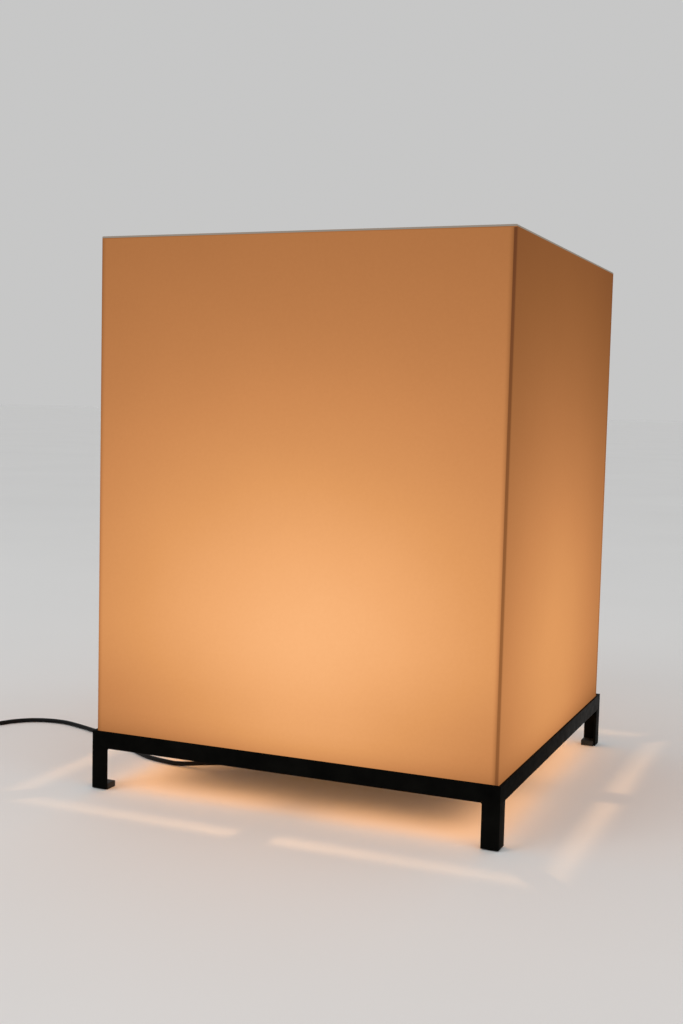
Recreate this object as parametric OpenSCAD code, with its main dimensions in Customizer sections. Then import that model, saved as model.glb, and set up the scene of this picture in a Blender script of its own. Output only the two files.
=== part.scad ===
// Square column floor lamp: a box of opal sheet standing in a welded steel-angle frame on four
// short legs, with one upright lamp holder and bulb on a plate inside, and a cord to the floor.
// Millimetres, +Z up. The origin is on the floor at the middle of the frame; the front faces -Y.

/* [Frame] */
// Outside width of the square frame
frame_width = 500; // [420:10:600]
// Clear height from the floor to the underside of the frame
leg_height = 50; // [44:1:80]
// Width of each flange of the steel angle
angle_width = 20; // [19:1:30]
// Thickness of the steel angle
angle_thickness = 3; // [2:0.5:4]
// Radius inside the root of the steel angle
root_radius = 1.2; // [0.6:0.1:1.4]
// Radius on the free edge of each flange
toe_radius = 0.8; // [0.4:0.1:0.9]
// Size of the weld bead beside each leg
weld_size = 3; // [2:0.5:4]

/* [Feet] */
// Height of the glide block inside each leg
foot_height = 7; // [5:1:12]
// How far the glide block stands below the steel
foot_proud = 1; // [0.5:0.5:2]

/* [Shade] */
// Height of the opal box from its seat to its top
shade_height = 595; // [400:5:800]
// Thickness of the opal sheet
sheet_thickness = 3; // [2:0.5:5]
// Gap between the opal box and the frame on each side
shade_gap = 1.5; // [1.5:0.5:3]
// Bevel along the upper edges of the top sheet
top_bevel = 0.6; // [0.3:0.1:0.9]

/* [Plate] */
// Width of the square plate that carries the lamp holder
plate_width = 396; // [300:2:400]
// Thickness of the plate
plate_thickness = 2; // [1.5:0.5:3]
// Width of the flat bars that carry the plate
bar_width = 30; // [28:1:40]
// Thickness of the flat bars
bar_thickness = 3; // [2:0.5:5]
// How far each bar end lies on the frame's flange
bar_lap = 10; // [8:1:12]
// Distance of the plate screws from the middle
plate_screw_place = 120; // [60:5:140]
// Diameter of the plate screws
plate_screw_size = 4; // [3:1:5]

/* [Lamp holder] */
// Outside diameter of the lamp holder
holder_diameter = 42; // [42:1:48]
// Height of the lamp holder above the plate
holder_height = 54; // [53:1:58]
// Wall of the lamp holder's mouldings
holder_wall = 2.2; // [1.8:0.1:2.4]
// Height of the bulb's seat above the plate
socket_depth = 30; // [30:0.5:31]
// Distance of the holder screws from the middle
holder_screw_place = 11; // [10:0.5:11.5]
// Diameter of the holder screws
holder_screw_size = 3; // [2.5:0.5:3.5]

/* [Bulb] */
// Diameter of the glass
bulb_diameter = 60; // [50:1:70]
// Length of the bulb from its contact to its top
bulb_length = 106; // [98:1:125]
// Wall of the glass
glass_wall = 0.8; // [0.6:0.1:1.2]
// Height of the light sources above the bulb's contact
light_centre = 72; // [64:1:74]
// Length of each light source
filament_length = 30; // [20:1:34]

/* [Cord] */
// Diameter of the cord
cord_diameter = 5.6; // [5:0.1:6]
// Turns of the cord that are put away in the coil
coil_turns = 5; // [3:1:6]
// Radius of the coil's outermost turn
coil_radius = 40; // [38:1:46]
// Step between neighbouring turns of the coil
coil_step = 6.4; // [6.4:0.1:7]

/* [Foot switch] */
// Diameter of the foot switch
switch_diameter = 60; // [56:1:62]
// Height of the foot switch without its button
switch_height = 20; // [19:1:24]
// Wall of the foot switch
switch_wall = 2; // [1.5:0.1:2.4]
// Diameter of the button
button_diameter = 26; // [22:1:28]
// Travel of the button
button_travel = 3; // [2:0.5:3.5]
// Turns of the button's return spring
spring_turns = 5; // [3:1:6]

/* [Plug] */
// Width of the plug's face
plug_width = 35.3; // [34:0.1:37]
// Thickness of the plug
plug_thickness = 13.7; // [13:0.1:15]
// Length of the plug's body
plug_length = 36; // [32:1:44]
// Diameter of the plug's pins
pin_diameter = 4; // [3.8:0.1:4.2]
// Length of the plug's pins
pin_length = 19; // [17:0.5:20]
// Distance between the plug's pins
pin_spacing = 18.6; // [17.5:0.1:19.2]

/* [Hidden] */

round_facets = 64;
small_facets = 32;

// Colours
steel_black = [0.03, 0.03, 0.03];
opal = [0.96, 0.72, 0.48];
plastic_black = [0.05, 0.05, 0.05];
porcelain = [0.9, 0.89, 0.86];
brass = [0.8, 0.66, 0.35];
zinc = [0.75, 0.76, 0.78];
clear_glass = [0.85, 0.9, 0.92, 0.4];
lit_yellow = [1, 0.8, 0.35];

// Levels and places worked out from the driving sizes
half_frame = frame_width / 2;
seat_z = leg_height + angle_thickness;
half_shade = half_frame - angle_thickness - shade_gap;
shade_width = 2 * half_shade;
bar_top = seat_z + bar_thickness;
plate_top = bar_top + plate_thickness;
bar_half = half_frame - angle_width + bar_lap;

// Screws and nuts
screw_clearance = 0.4;
head_ratio = 1.9;
head_height_ratio = 0.6;
nut_ratio = 1.75;
nut_height_ratio = 0.8;
thread_beyond_nut = 2;

// Lamp holder levels above the plate
holder_radius = holder_diameter / 2;
holder_floor = 3;
holder_inner = holder_radius - holder_wall;
ledge_width = 3.3;
ledge_z = plate_top + 12;
core_gap = 0.4;
core_disc = 6;
core_top = ledge_z + core_disc;
joint_z = core_top + 6;
neck_gap = 0.2;
neck_wall = 2.2;
holder_top = plate_top + holder_height;
lip_width = 5;
contact_z = plate_top + socket_depth;

// Screw base of the bulb, of the common 27 mm size
base_crest = 13.1;
base_root = 12.1;
base_pitch = 3.62;
base_threads = 4;
base_start = 6;
base_length = 25;
base_wall = 0.4;
tip_radius = 4.6;
tip_height = 1.6;
shell_gap = 0.35;
shell_wall = 0.5;
shell_inner = base_crest + shell_gap;
shell_outer = shell_inner + shell_wall;
shell_low = core_top + 1;
shell_high = contact_z + base_start + base_threads * base_pitch + 0.5;
bead_height = 0.3;
contact_room = 6;
terminal_place = 8;
terminal_radius = 1.5;
terminal_head = 2.4;
wire_radius = 0.8;

// Bulb
bulb_radius = bulb_diameter / 2;
bulb_top = contact_z + bulb_length;
bulb_belly = bulb_top - bulb_radius;
glass_foot = contact_z + base_length - 1;
neck_radius = base_root + 0.6;
light_z = contact_z + light_centre;
filament_radius = 0.9;
filament_ring = 7;
filament_count = 4;
stem_radius = 1.2;
lead_radius = 0.3;

// Strain relief under the plate
bush_collar = 3;
bush_collar_radius = 7;
bush_length = 21;
bush_neck_radius = 4.6;
bush_tip_radius = 3.9;
cord_radius = cord_diameter / 2;
exit_z = seat_z - bush_length;
stub_top = plate_top + holder_floor + 3;

// Route of the cord: points chosen by hand along what lies on the floor, in whole or half
// millimetres; each stretch runs straight out of the piece that it leaves.
cord_sides = 8;
route_to_switch = [
    [0, 0, exit_z], [0, 0, exit_z - 3], [-1.5, -2, 18.5], [-6, -7, 10], [-13, -15, 5],
    [-22, -25, 3.5], [-36, -41, 3.5], [-56, -64, 5], [-82, -90, 9], [-112, -108, 12],
    [-142, -117, 11.5], [-166, -120, 9], [-204, -120, 3.5], [-226, -118, 3], [-256, -110, 3],
    [-286, -93, 3], [-352, -49, 3],
    [-386, -31, 3], [-441, -11, 3], [-466, -8, 3], [-488, -12, 3], [-507, -22, 3],
    [-522, -38, 3], [-533, -58, 3], [-545, -78, 4], [-557, -98, 7], [-560, -112, 8],
    [-560, -122, 8]];
route_to_coil = [
    [-560, -198, 8], [-560, -203, 8], [-562, -216, 6.5], [-569, -229, 4], [-581, -239, 3],
    [-600, -245, 3], [-634, -246, 3]];
route_to_plug = [
    [-646, -246, 9.5], [-656, -246, 9.5], [-674, -243, 7], [-692, -234, 4], [-706, -219, 3],
    [-713, -201, 4], [-714, -187, 7], [-714, -174, 7]];

// Coil: two layers of turns, in along the floor and out again on top
coil_lead = 6;
coil_start = route_to_coil[len(route_to_coil) - 1];
coil_centre = [coil_start.x - coil_lead, coil_start.y + coil_radius];
coil_low = coil_start.z;
coil_layer_step = route_to_plug[0].z - coil_low;
coil_rings = 24;
coil_sides = 6;
coil_turn_in = 0.15;

// Foot switch
switch_centre = [-560, -160];
switch_radius = switch_diameter / 2;
switch_split = 13;
switch_floor = 2;
spout_reach = 38;
spout_radius = 4.8;
spout_z = 8;
cord_end_length = 14;
button_radius = button_diameter / 2;
button_gap = 0.3;
button_flange = 2;
button_flange_height = 1.5;
button_bottom = switch_height - switch_wall - button_gap - button_flange_height;
button_proud = 3.5;
button_wall = 1.6;
button_top = switch_height + button_proud;
button_dish = 0.8;
button_ceiling = button_top - button_dish - button_wall;
post_radius = 3;
post_top = button_ceiling - button_travel - button_gap;
spring_radius = 4.6;
spring_wire = 0.7;
spring_rings = 12;
spring_sides = 6;
cover_screw_place = 20;
cover_screw_radius = 1.4;
cover_screw_head = 2.4;
cover_screw_seat = 1.6;
cover_screw_length = 15;
cover_boss = 2.4;

// Plug
plug_place = [-714, -174, 7];
relief_length = 24;
pin_sleeve_share = 0.53;

// ---------------------------------------------------------------- helpers

function unit(v) = v / norm(v);

// Smooth curve through the points of a route, with one more ring between each two, but none
// on the straight stretch at either end
function between(p, i, t) =
    let (a = p[max(i - 1, 0)], b = p[i], c = p[i + 1], d = p[min(i + 2, len(p) - 1)])
    0.5 * (2 * b + (c - a) * t + (2 * a - 5 * b + 4 * c - d) * t * t
           + (3 * b - a - 3 * c + d) * t * t * t);
function smooth_route(p) = concat(
    [p[0]],
    [for (i = [1 : len(p) - 3]) for (t = [0, 0.5]) between(p, i, t)],
    [p[len(p) - 2], p[len(p) - 1]]);

// Directions along a path and the side directions that are carried along it without twist
function path_tangents(p) = [for (i = [0 : len(p) - 1])
    unit(p[min(i + 1, len(p) - 1)] - p[max(i - 1, 0)])];
function square_to(v, t) = unit(v - (v * t) * t);
function first_side(t) = square_to(abs(t.z) > 0.7 ? [1, 0, 0] : [0, 0, 1], t);
function path_sides(t) = [for (i = 0, s = first_side(t[0]); i < len(t);
    i = i + 1, s = i < len(t) ? square_to(s, t[i]) : s) s];

// One closed tube along a path, with flat ends
module tube(path, radius, sides) {
    t = path_tangents(path);
    s = path_sides(t);
    last = len(path) - 1;
    points = [for (i = [0 : last]) for (k = [0 : sides - 1])
        let (a = 360 * k / sides)
        path[i] + radius * (cos(a) * s[i] + sin(a) * cross(t[i], s[i]))];
    walls = [for (i = [0 : last - 1]) for (k = [0 : sides - 1])
        let (a = i * sides + k, b = i * sides + (k + 1) % sides)
        each [[a, a + sides, b], [b, a + sides, b + sides]]];
    start = [for (k = [1 : sides - 2]) [0, k, k + 1]];
    end = [for (k = [1 : sides - 2]) [last * sides, last * sides + k + 1, last * sides + k]];
    polyhedron(points, concat(walls, start, end), convexity = 6);
}

// Flat ring or disc along Z
module ring(outer, inner, z0, z1, facets = round_facets) {
    translate([0, 0, z0])
        difference() {
            cylinder(r = outer, h = z1 - z0, $fn = facets);
            translate([0, 0, -1]) cylinder(r = inner, h = z1 - z0 + 2, $fn = facets);
        }
}

module disc(radius, z0, z1, facets = round_facets) {
    translate([0, 0, z0]) cylinder(r = radius, h = z1 - z0, $fn = facets);
}

// The four places round the frame, quarter turns from the front or the front left corner
module quarter(turn) { rotate([0, 0, 90 * turn]) children(); }

// ---------------------------------------------------------------- frame

// Section of the steel angle: the outer corner is at the origin
module angle_section() {
    inner = angle_thickness + root_radius;
    toe = angle_width - toe_radius;
    edge = angle_thickness - toe_radius;
    difference() {
        union() {
            square([angle_thickness, toe]);
            square([toe, angle_thickness]);
            square([edge, angle_width]);
            square([angle_width, edge]);
            translate([edge, toe]) circle(r = toe_radius, $fn = small_facets);
            translate([toe, edge]) circle(r = toe_radius, $fn = small_facets);
            translate([angle_thickness, angle_thickness]) square(root_radius);
        }
        translate([inner, inner]) circle(r = root_radius, $fn = small_facets);
    }
}

// One side of the frame, mitred at both ends
module rail(turn) {
    color(steel_black) quarter(turn)
        translate([0, -half_frame, leg_height])
            intersection() {
                rotate([90, 0, 90])
                    linear_extrude(frame_width, center = true) angle_section();
                translate([0, 0, -1])
                    linear_extrude(angle_width + 2)
                        polygon([[-half_frame, 0], [half_frame, 0],
                                 [half_frame - angle_width, angle_width],
                                 [angle_width - half_frame, angle_width]]);
            }
}

// Weld bead in the corner between a leg's flange and the underside of the rail
module weld_bead() {
    translate([angle_width, 0, leg_height])
        rotate([-90, 0, 0])
            linear_extrude(angle_thickness - toe_radius)
                polygon([[-0.2, 0], [weld_size, 0], [weld_size / 2.5, weld_size / 2.5],
                         [0, weld_size + 1], [-0.2, weld_size + 1]]);
}

module leg(turn) {
    color(steel_black) quarter(turn)
        translate([-half_frame, -half_frame, 0]) {
            translate([0, 0, foot_proud]) linear_extrude(leg_height - foot_proud) angle_section();
            weld_bead();
            mirror([1, -1, 0]) weld_bead();
        }
}

// Glide block pressed into the angle at the bottom of each leg
module foot(turn) {
    size = angle_width - angle_thickness;
    color(plastic_black) quarter(turn)
        translate([angle_thickness - half_frame, angle_thickness - half_frame, 0])
            difference() {
                cube([size, size, foot_height]);
                difference() {
                    translate([-1, -1, -1]) cube([root_radius + 1, root_radius + 1, foot_height + 2]);
                    translate([root_radius, root_radius, -2])
                        cylinder(r = root_radius, h = foot_height + 4, $fn = small_facets);
                }
            }
}

// ---------------------------------------------------------------- plate and bars

module screw_holes(radius, z0, z1) {
    for (turn = [0 : 3])
        quarter(turn) translate([plate_screw_place, 0, 0]) disc(radius, z0, z1, small_facets);
}

module holder_holes(radius, z0, z1) {
    for (side = [-1, 1])
        translate([side * holder_screw_place, 0, 0]) disc(radius, z0, z1, small_facets);
}

plate_hole = (plate_screw_size + screw_clearance) / 2;
holder_hole = (holder_screw_size + screw_clearance) / 2;

module cross_bar_long() {
    color(steel_black)
        difference() {
            translate([-bar_half, -bar_width / 2, seat_z]) cube([2 * bar_half, bar_width, bar_thickness]);
            disc(bush_neck_radius, seat_z - 1, bar_top + 1, small_facets);
            screw_holes(plate_hole, seat_z - 1, bar_top + 1);
            holder_holes(holder_hole, seat_z - 1, bar_top + 1);
        }
}

// Short bar from the long bar's edge to the front or back flange
module cross_bar_short(turn) {
    color(steel_black) quarter(turn)
        difference() {
            translate([-bar_width / 2, -bar_half, seat_z])
                cube([bar_width, bar_half - bar_width / 2, bar_thickness]);
            screw_holes(plate_hole, seat_z - 1, bar_top + 1);
        }
}

module bottom_plate() {
    color(steel_black)
        difference() {
            translate([-plate_width / 2, -plate_width / 2, bar_top])
                cube([plate_width, plate_width, plate_thickness]);
            disc(bush_neck_radius, bar_top - 1, plate_top + 1, small_facets);
            screw_holes(plate_hole, bar_top - 1, plate_top + 1);
            holder_holes(holder_hole, bar_top - 1, plate_top + 1);
        }
}

// Pan head screw pointing down from z = 0, with a cross slot in its head
module pan_screw(size, length) {
    head = size * head_height_ratio;
    difference() {
        union() {
            intersection() {
                cylinder(r = size * head_ratio / 2, h = head, $fn = small_facets);
                translate([0, 0, head - 2.1 * size]) sphere(r = 2.1 * size, $fn = round_facets);
            }
            translate([0, 0, -length]) cylinder(r = size / 2, h = length + 0.1, $fn = small_facets);
        }
        for (a = [0, 90])
            rotate([0, 0, a])
                translate([-size / 2, -size / 10, head * 0.5]) cube([size, size / 5, head]);
    }
}

module plate_screws() {
    grip = plate_thickness + bar_thickness + plate_screw_size * nut_height_ratio + thread_beyond_nut;
    color(zinc)
        for (turn = [0 : 3])
            quarter(turn) translate([plate_screw_place, 0, plate_top]) pan_screw(plate_screw_size, grip);
}

module plate_nuts() {
    height = plate_screw_size * nut_height_ratio;
    color(zinc)
        for (turn = [0 : 3])
            quarter(turn) translate([plate_screw_place, 0, seat_z - height])
                difference() {
                    cylinder(r = plate_screw_size * nut_ratio / sqrt(3), h = height, $fn = 6);
                    translate([0, 0, -1])
                        cylinder(r = plate_screw_size / 2, h = height + 2, $fn = small_facets);
                }
}

// ---------------------------------------------------------------- shade

// One wall: its left end covers the next wall's edge, its right end stops behind the next wall
module shade_wall(turn) {
    color(opal) quarter(turn)
        translate([-half_shade, -half_shade, seat_z])
            cube([shade_width - sheet_thickness, sheet_thickness, shade_height - sheet_thickness]);
}

// Outline of the top sheet from the side, with bevelled upper edges
module top_profile() {
    polygon([[-half_shade, 0], [half_shade, 0], [half_shade, sheet_thickness - top_bevel],
             [half_shade - top_bevel, sheet_thickness], [top_bevel - half_shade, sheet_thickness],
             [-half_shade, sheet_thickness - top_bevel]]);
}

module shade_top() {
    color(opal)
        translate([0, 0, seat_z + shade_height - sheet_thickness])
            intersection_for(a = [0, 90])
                rotate([90, 0, a]) linear_extrude(shade_width + 2, center = true) top_profile();
}

// ---------------------------------------------------------------- lamp holder

module holder_cap() {
    r = holder_radius;
    color(plastic_black)
        difference() {
            rotate_extrude($fn = round_facets)
                polygon(concat(
                    [[cord_radius + 1, plate_top], [r - 2, plate_top]],
                    [for (a = [-75 : 15 : 0]) [r - 2 + 2 * cos(a), plate_top + 2 + 2 * sin(a)]],
                    [[r, joint_z], [holder_inner, joint_z], [holder_inner, ledge_z],
                     [holder_inner - ledge_width, ledge_z],
                     [holder_inner - ledge_width, plate_top + holder_floor],
                     [cord_radius + 1, plate_top + holder_floor]]));
            holder_holes(holder_screw_size / 2, plate_top - 1, plate_top + holder_floor + 1);
        }
}

module holder_shell() {
    neck = holder_inner - neck_gap;
    mouth = holder_radius - lip_width;
    color(plastic_black)
        rotate_extrude($fn = round_facets)
            polygon(concat(
                [[neck - neck_wall, core_top], [neck, core_top], [neck, joint_z],
                 [holder_radius, joint_z], [holder_radius - 0.8, holder_top - 3]],
                [for (a = [0 : 15 : 90])
                    [holder_radius - 3.8 + 3 * cos(a), holder_top - 3 + 3 * sin(a)]],
                [[mouth, holder_top], [mouth, holder_top - holder_wall],
                 [holder_inner - 0.6, holder_top - 2 * holder_wall],
                 [holder_inner, joint_z + 3], [neck - neck_wall, joint_z + 1]]));
}

module holder_core() {
    disc_radius = holder_inner - core_gap;
    collar = shell_outer + 1.6;
    color(porcelain)
        difference() {
            union() {
                disc(disc_radius, ledge_z, core_top);
                disc(collar, core_top, core_top + 7);
            }
            disc(shell_outer, shell_low, core_top + 8);
            disc(contact_room - 0.5, ledge_z - 1, ledge_z + 2);
            for (side = [-1, 1])
                translate([side * terminal_place, 0, 0])
                    disc(terminal_radius, ledge_z - 1, shell_low + 1, small_facets);
        }
}

// Threaded sleeve: its rolled beads stand out where the turns of the bulb's thread run inside
module screw_shell() {
    color(brass)
        difference() {
            union() {
                disc(shell_outer, shell_low, shell_high);
                for (i = [0 : base_threads - 1])
                    translate([0, 0, contact_z + base_start + (i + 0.5) * base_pitch])
                        rotate_extrude($fn = round_facets)
                            translate([shell_outer - 0.1, 0])
                                polygon([[0, -1], [bead_height + 0.1, -0.4],
                                         [bead_height + 0.1, 0.4], [0, 1]]);
            }
            disc(shell_inner, shell_low + shell_wall, shell_high + 1);
            disc(contact_room, shell_low - 1, shell_low + 1);
        }
}

// Sprung tongue that the bulb's contact presses on
module centre_contact() {
    sheet = 0.6;
    middle_z = (shell_low + contact_z) / 2;
    color(brass)
        translate([0, 2.5, 0]) rotate([90, 0, 0])
            linear_extrude(5)
                polygon([[-5, shell_low], [5, shell_low], [5, shell_low + sheet],
                         [-3.4, shell_low + sheet], [-3.6, middle_z - 0.3], [-2, contact_z - sheet],
                         [3, contact_z - sheet], [4.4, contact_z - 2], [4.9, contact_z - 1.6],
                         [3.3, contact_z], [-2.6, contact_z], [-4.3, middle_z]]);
}

module terminal_screws() {
    color(brass)
        for (side = [-1, 1])
            translate([side * terminal_place, 0, ledge_z]) {
                translate([0, 0, -terminal_head])
                    cylinder(r = terminal_radius + 1.1, h = terminal_head, $fn = small_facets);
                cylinder(r = terminal_radius, h = core_disc - 1, $fn = small_facets);
            }
}

module holder_screws() {
    grip = bar_thickness + plate_thickness + holder_floor + 1;
    color(zinc)
        for (side = [-1, 1])
            translate([side * holder_screw_place, 0, seat_z]) mirror([0, 0, 1])
                pan_screw(holder_screw_size, grip);
}

// ---------------------------------------------------------------- strain relief and wiring

// Flexible bush: a neck through the bar, a collar against it and a tapered tail below
module cord_bush() {
    tail_top = seat_z - bush_collar;
    color(plastic_black)
        rotate_extrude($fn = small_facets)
            polygon(concat(
                [[cord_radius, exit_z], [bush_tip_radius, exit_z]],
                [for (i = [1 : 4])
                    let (z = exit_z + (tail_top - exit_z) * i / 5,
                         r = bush_tip_radius + 1.5 * i / 5)
                    each [[r, z - 1.4], [r - 0.6, z - 1.4], [r - 0.6, z], [r + 0.1, z]]],
                [[bush_collar_radius - 1.4, tail_top], [bush_collar_radius, tail_top + 1],
                 [bush_collar_radius, seat_z], [bush_neck_radius, seat_z],
                 [bush_neck_radius, plate_top], [cord_radius, plate_top]]));
}

module cord_stub() {
    color(plastic_black) disc(cord_radius, exit_z, stub_top, small_facets);
}

// The cord's two cores, bent out from the end of its jacket to the terminals
module core_wires() {
    end_z = ledge_z - terminal_head - wire_radius;
    for (side = [-1, 1])
        color(side < 0 ? [0.1, 0.25, 0.6] : [0.4, 0.22, 0.1])
            tube(smooth_route([[side * 1.3, 0, stub_top], [side * 1.3, 0, stub_top + 0.8],
                               [side * 3.2, 0, end_z - 0.7], [side * 5, 0, end_z],
                               [side * (terminal_place + 1), 0, end_z]]), wire_radius, 6);
}

// ---------------------------------------------------------------- bulb

// Outline of the glass as radius and height: neck, flowing shoulder, round belly
function glass_outline(inset) = concat(
    [[neck_radius - inset, glass_foot]],
    [for (i = [0 : 8])
        let (t = i / 8, a = -52)
        let (p0 = [neck_radius, glass_foot + 5], p1 = [neck_radius + 1, glass_foot + 16],
             p3 = [bulb_radius * cos(a), bulb_belly + bulb_radius * sin(a)],
             p2 = p3 - 12 * [-sin(a), cos(a)])
        let (p = pow(1 - t, 3) * p0 + 3 * pow(1 - t, 2) * t * p1
                 + 3 * (1 - t) * t * t * p2 + pow(t, 3) * p3)
        [p.x - inset, p.y]],
    [for (a = [-46 : 8 : 82])
        [(bulb_radius - inset) * cos(a), bulb_belly + (bulb_radius - inset) * sin(a)]],
    [[0, bulb_belly + bulb_radius - inset]]);

module bulb_glass() {
    outer = glass_outline(0);
    inner = glass_outline(glass_wall);
    color(clear_glass)
        rotate_extrude($fn = round_facets)
            polygon(concat(outer, [for (i = [len(inner) - 1 : -1 : 0]) inner[i]]));
}

// Screw base: a thin metal shell with rounded thread turns, closed below by the insulator
function base_wave(z) =
    let (start = contact_z + base_start, share = (z - start) / base_pitch)
    share < 0 || share > base_threads ? base_root
        : base_root + (base_crest - base_root) * (1 - cos(360 * share)) / 2;

module bulb_cap() {
    z0 = contact_z + base_start - 1;
    z1 = contact_z + base_length;
    collar = neck_radius + base_wall;
    steps = 46;
    outer = [for (i = [0 : steps]) let (z = z0 + (z1 - 2 - z0) * i / steps) [base_wave(z), z]];
    color(zinc)
        rotate_extrude($fn = round_facets)
            polygon(concat(
                outer,
                [[collar, z1 - 1.2], [collar, z1 + 1], [neck_radius, z1 + 1], [neck_radius, z1 - 1],
                 [base_root - base_wall, z1 - 1.6], [base_root - base_wall, z0]]));
}

module bulb_insulator() {
    z0 = contact_z + tip_height;
    z1 = contact_z + base_start - 1;
    color(plastic_black)
        rotate_extrude($fn = round_facets)
            polygon([[0, z0], [tip_radius + 0.6, z0], [base_root - 1.2, z1 - 1.2],
                     [base_root, z1], [base_root - base_wall, z1],
                     [base_root - base_wall, z1 + 2], [0, z1 + 2]]);
}

module bulb_contact() {
    color(zinc)
        rotate_extrude($fn = small_facets)
            polygon([[0, contact_z], [tip_radius - 1.6, contact_z], [tip_radius - 0.5, contact_z + 0.4],
                     [tip_radius, contact_z + tip_height], [0, contact_z + tip_height]]);
}

// Glass stem that carries the light sources: its flare closes the neck of the glass
module bulb_stem() {
    flare = neck_radius - glass_wall;
    low_ring = light_z - filament_length / 2;
    high_ring = light_z + filament_length / 2;
    color(clear_glass)
        rotate_extrude($fn = small_facets)
            polygon([[0, glass_foot], [flare, glass_foot], [flare, glass_foot + 1],
                     [4.2, glass_foot + 10], [2.6, low_ring - 10], [stem_radius, low_ring - 6],
                     [stem_radius, high_ring + 3], [2.2, high_ring + 3.6], [2.2, high_ring + 4.6],
                     [0, high_ring + 5]]);
}

// Light sources round the stem, each held by a bent lead at its top and bottom
module bulb_filaments() {
    drop = filament_length / 2 + 1.2;
    color(lit_yellow)
        for (i = [0 : filament_count - 1])
            rotate([0, 0, 45 + 360 * i / filament_count]) {
                translate([filament_ring, 0, 0])
                    disc(filament_radius, light_z - filament_length / 2,
                         light_z + filament_length / 2, 16);
                for (end = [-1, 1]) {
                    translate([stem_radius, 0, light_z + end * drop]) rotate([0, 90, 0])
                        cylinder(r = lead_radius, h = filament_ring - stem_radius + lead_radius, $fn = 16);
                    translate([filament_ring, 0, light_z + end * (drop - 0.5)])
                        cylinder(r = lead_radius, h = 1.6, center = true, $fn = 16);
                }
            }
}

// ---------------------------------------------------------------- cord

module cord_run(route) {
    color(plastic_black) tube(smooth_route(route), cord_radius, cord_sides);
}

// Point of the coil after a number of turns: it runs in on the floor and out on top
function coil_point(turns) =
    let (half = coil_turns / 2,
         reach = sqrt(pow(turns - half, 2) + pow(coil_turn_in, 2)),
         inner = coil_radius - coil_step * sqrt(half * half + pow(coil_turn_in, 2)),
         radius = inner + coil_step * reach,
         climb = min(1, max(0, (turns - half + 0.25) / 0.5)),
         height = coil_low + coil_layer_step * (3 * climb * climb - 2 * pow(climb, 3)),
         angle = -90 - 360 * turns)
    [coil_centre.x + radius * cos(angle), coil_centre.y + radius * sin(angle), height];

function coil_path() = concat(
    [coil_point(0) + [coil_lead, 0, 0]],
    [for (i = [0 : coil_turns * coil_rings]) coil_point(i / coil_rings)],
    [coil_point(coil_turns) - [coil_lead, 0, 0]]);

// Smallest gap between turns of the coil, measured from each ring to the rings of other turns
function coil_gap(path) = min([for (i = [0 : len(path) - 1])
    for (k = [i + floor(coil_rings / 2) : 1 : len(path) - 1])
        norm(path[i] - path[k])]) - cord_diameter;

module cord_coil() {
    color(plastic_black) tube(coil_path(), cord_radius, coil_sides);
}

echo(coil_self_gap_mm = coil_gap(coil_path()));

// ---------------------------------------------------------------- foot switch

module at_switch() { translate([switch_centre.x, switch_centre.y, 0]) children(); }

module switch_base() {
    r = switch_radius;
    color(plastic_black) at_switch()
        difference() {
            union() {
                rotate_extrude($fn = round_facets)
                    polygon([[0, 0], [r - 1.5, 0], [r, 1.5], [r, switch_split],
                             [r - switch_wall, switch_split], [r - switch_wall, switch_floor],
                             [0, switch_floor]]);
                for (side = [-1, 1])
                    rotate([90 * side, 0, 0]) translate([0, side * spout_z, r - switch_wall])
                        cylinder(r1 = spout_radius, r2 = spout_radius - 1,
                                 h = spout_reach - r + switch_wall, $fn = small_facets);
                disc(post_radius, switch_floor - 0.1, post_top, small_facets);
                for (side = [-1, 1])
                    translate([side * cover_screw_place, 0, 0])
                        disc(3, switch_floor - 0.1, switch_split, small_facets);
            }
            for (side = [-1, 1])
                rotate([90 * side, 0, 0]) translate([0, side * spout_z, r - switch_wall - 2])
                    cylinder(r = cord_radius, h = spout_reach, $fn = small_facets);
            for (side = [-1, 1])
                translate([side * cover_screw_place, 0, 0]) {
                    disc(cover_screw_radius, -1, switch_split + 1, small_facets);
                    disc(cover_screw_head + 0.1, -1, cover_screw_seat, small_facets);
                }
        }
}

module switch_cover() {
    r = switch_radius;
    mouth = button_radius + button_gap;
    curl = mouth + 3;
    low = switch_split + 1;
    inner_top = switch_height - switch_wall;
    color(plastic_black) at_switch()
        difference() {
            union() {
                rotate_extrude($fn = round_facets)
                    polygon(concat(
                        [[r - switch_wall, switch_split], [r, switch_split]],
                        [for (a = [0 : 15 : 90])
                            [curl + (r - curl) * cos(a), low + (switch_height - low) * sin(a)]],
                        [[mouth, switch_height], [mouth, inner_top]],
                        [for (a = [90 : -15 : 0])
                            [curl + (r - switch_wall - curl) * cos(a), low + (inner_top - low) * sin(a)]]));
                for (side = [-1, 1])
                    translate([side * cover_screw_place, 0, 0])
                        disc(cover_boss, switch_split, inner_top - 0.2, small_facets);
            }
            for (side = [-1, 1])
                translate([side * cover_screw_place, 0, 0])
                    disc(cover_screw_radius, switch_split - 1, cover_screw_seat + cover_screw_length,
                         small_facets);
        }
}

module switch_button() {
    r = button_radius;
    top = button_top;
    flange_z = button_bottom;
    color([0.25, 0.25, 0.26]) at_switch()
        rotate_extrude($fn = round_facets)
            polygon(concat(
                [[r - button_wall, flange_z], [r + button_flange, flange_z],
                 [r + button_flange, flange_z + button_flange_height],
                 [r, flange_z + button_flange_height], [r, top - 2]],
                [for (a = [15 : 15 : 90]) [r - 2 + 2 * cos(a), top - 2 + 2 * sin(a)]],
                [[r * 0.5, top - button_dish * 0.6], [0, top - button_dish], [0, button_ceiling],
                 [r - button_wall, button_ceiling]]));
}

// Return spring round the post, from the floor of the base to the inside of the button
spring_low = switch_floor + spring_wire;
spring_high = button_ceiling - spring_wire - button_gap;

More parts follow.
